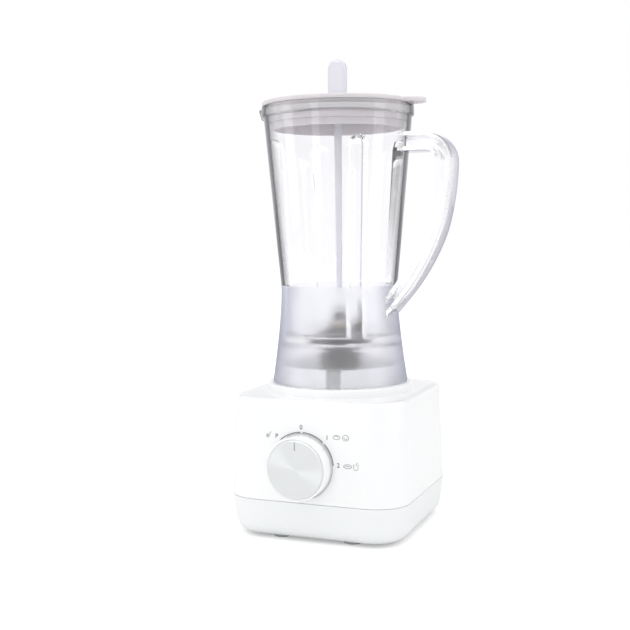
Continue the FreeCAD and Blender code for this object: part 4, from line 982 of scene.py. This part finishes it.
round_centre = stirrer_high.z - GRIP_HALF_WIDTH
for angle in range(0, 90, 6):
    across = GRIP_HALF_WIDTH * math.cos(math.radians(angle))
    height = round_centre + GRIP_HALF_WIDTH * math.sin(math.radians(angle))
    thick = GRIP_HALF_THICKNESS * math.sqrt(min(1, (stirrer_high.z + 0.05 - height) / 2.2))
    rings.append(square_ring(across, thick, min(thick * 0.85, across * 0.98), height, 6))
# Translucent styrene: milky, so that what lies behind it only shows as a soft shade, and painted a
# little darker where it is seen edge on.
translucent = clear_plastic("translucent_styrene", "#F0F0F6", "#CFCFDD", 0.3, 1.5, 0.45)
piece("stirrer", skin(rings), [translucent], "stirrer", "stirrer_plastic", "stirrer", sharp=40)

# ---- Blade unit ----
# Pressed stainless blades on a ground spindle, in a black nylon bearing housing that a nut
# clamps to the jar's floor; the rubber coupling under it takes the motor's drive.


def dress(material, *nodes):
    """Give frame pieces whose shape is right their finish."""
    for name in nodes:
        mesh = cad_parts[name].data
        mesh.materials.clear()
        mesh.materials.append(material)


def metal(name, colour, roughness, stretch, spacing, depth):
    """Worked metal: noise drawn out along stretch gives its grain, spacing millimetres apart."""
    material, tree, shader = new_material(name, colour, roughness, {"Metallic": 1})
    place = add(tree, "ShaderNodeTexCoord")
    drawn = add(tree, "ShaderNodeMapping", {"Vector": place.outputs["Object"], "Scale": stretch})
    grain = add(tree, "ShaderNodeTexNoise", {
        "Vector": drawn.outputs[0], "Scale": 1 / (spacing * MM), "Detail": 4})
    engrave(tree, shader, grain.outputs[0], depth)
    polish = add(tree, "ShaderNodeMapRange", {
        "Value": grain.outputs[0], "To Min": roughness - 0.08, "To Max": roughness + 0.1})
    tree.links.new(polish.outputs[0], shader.inputs["Roughness"])
    return material


# Brushed stainless steel: fine straight grain along the blade.
stainless = metal("brushed_stainless", "#DCDEE0", 0.34, (0.15, 1, 1), 0.3, 0.004)
# Ground steel: bright, with grinding lines round the shaft.
ground_steel = metal("ground_steel", "#B9BCC0", 0.24, (1, 1, 0.1), 0.2, 0.002)
# Sintered bronze: dull yellow-brown with small pores.
bronze = metal("sintered_bronze", "#A98850", 0.42, (1, 1, 1), 0.35, 0.01)
# Glass-filled nylon: black with a faint fibre mottle.
black_nylon = moulded("black_nylon", "#1B1C1E", 0.45, grain=0.8, depth=0.006,
                      sockets={"IOR": 1.53})
# Moulded nitrile rubber: black and matt.
black_rubber = moulded("black_nitrile_rubber", "#161617", 0.7, grain=0.7, depth=0.015)
# Unfilled nylon: off-white and slightly waxy.
white_nylon = moulded("natural_nylon", "#DEDFDB", 0.4, grain=0.8, depth=0.006,
                      sockets={"IOR": 1.53})
dress(stainless, "lower_blade", "upper_blade")
dress(ground_steel, "blade_spindle", "blade_nut", "blade_spacer", "motor_shaft", "switch_spindle")
dress(bronze, "spindle_bush", "thrust_washer", "lower_bearing", "upper_bearing")
dress(black_nylon, "blade_bearing_housing", "jar_lock_nut", "rotary_switch", "terminal_block",
      "brush_holders", "cooling_fan")
dress(black_rubber, "driven_coupling", "motor_grommets")
dress(white_nylon, "drive_coupling")
dress(silicone, "jar_gasket")

# ---- Motor ----
# A universal motor: a stack of electrical steel sheets with enamelled copper coils, between
# two die-cast brackets, with carbon brushes on a copper commutator.

# Electrical steel sheets 0.5 mm thick, seen edge on as fine dark lines.
sheet_steel, tree, shader = new_material("laminated_steel", "#77797C", 0.45, {"Metallic": 1})
place = add(tree, "ShaderNodeTexCoord")
sheets = add(tree, "ShaderNodeTexWave", {
    "Vector": place.outputs["Object"], "Scale": math.tau / 20 / (0.5 * MM), "Distortion": 0.3},
    bands_direction="Z")
engrave(tree, shader, sheets.outputs[1], 0.05)
# Enamelled copper wire 0.6 mm thick, wound side by side and glossy with varnish.
copper_wire, tree, shader = new_material("enamelled_copper", "#A4542A", 0.3, {
    "Metallic": 0.8, "Coat Weight": 0.6, "Coat Roughness": 0.15})
place = add(tree, "ShaderNodeTexCoord")
wires = add(tree, "ShaderNodeTexWave", {
    "Vector": place.outputs["Object"], "Scale": math.tau / 20 / (0.6 * MM), "Distortion": 1.5,
    "Detail": 2}, bands_direction="DIAGONAL")
engrave(tree, shader, wires.outputs[1], 0.3)
# Die-cast zinc: grey with a slightly orange-peel skin.
die_cast = metal("die_cast_zinc", "#A3A6A9", 0.45, (1, 1, 1), 1.5, 0.03)
# Hard-drawn copper segments.
commutator_copper = metal("commutator_copper", "#B8703F", 0.3, (1, 1, 0.1), 0.3, 0.006)
# Pressed carbon: black, dusty and soft.
carbon = moulded("pressed_carbon", "#141414", 0.6, grain=0.3, depth=0.01)
# Drawn spring steel.
spring_steel = metal("spring_steel", "#A9ACAF", 0.3, (1, 1, 1), 0.4, 0.003)
dress(sheet_steel, "stator_core", "rotor_core")
dress(copper_wire, "field_windings", "rotor_windings")
dress(die_cast, "lower_motor_bracket", "upper_motor_bracket")
dress(commutator_copper, "commutator")
dress(carbon, "carbon_brushes")
dress(spring_steel, "brush_springs")
dress(zinc_steel, "motor_through_bolts", "motor_screws")
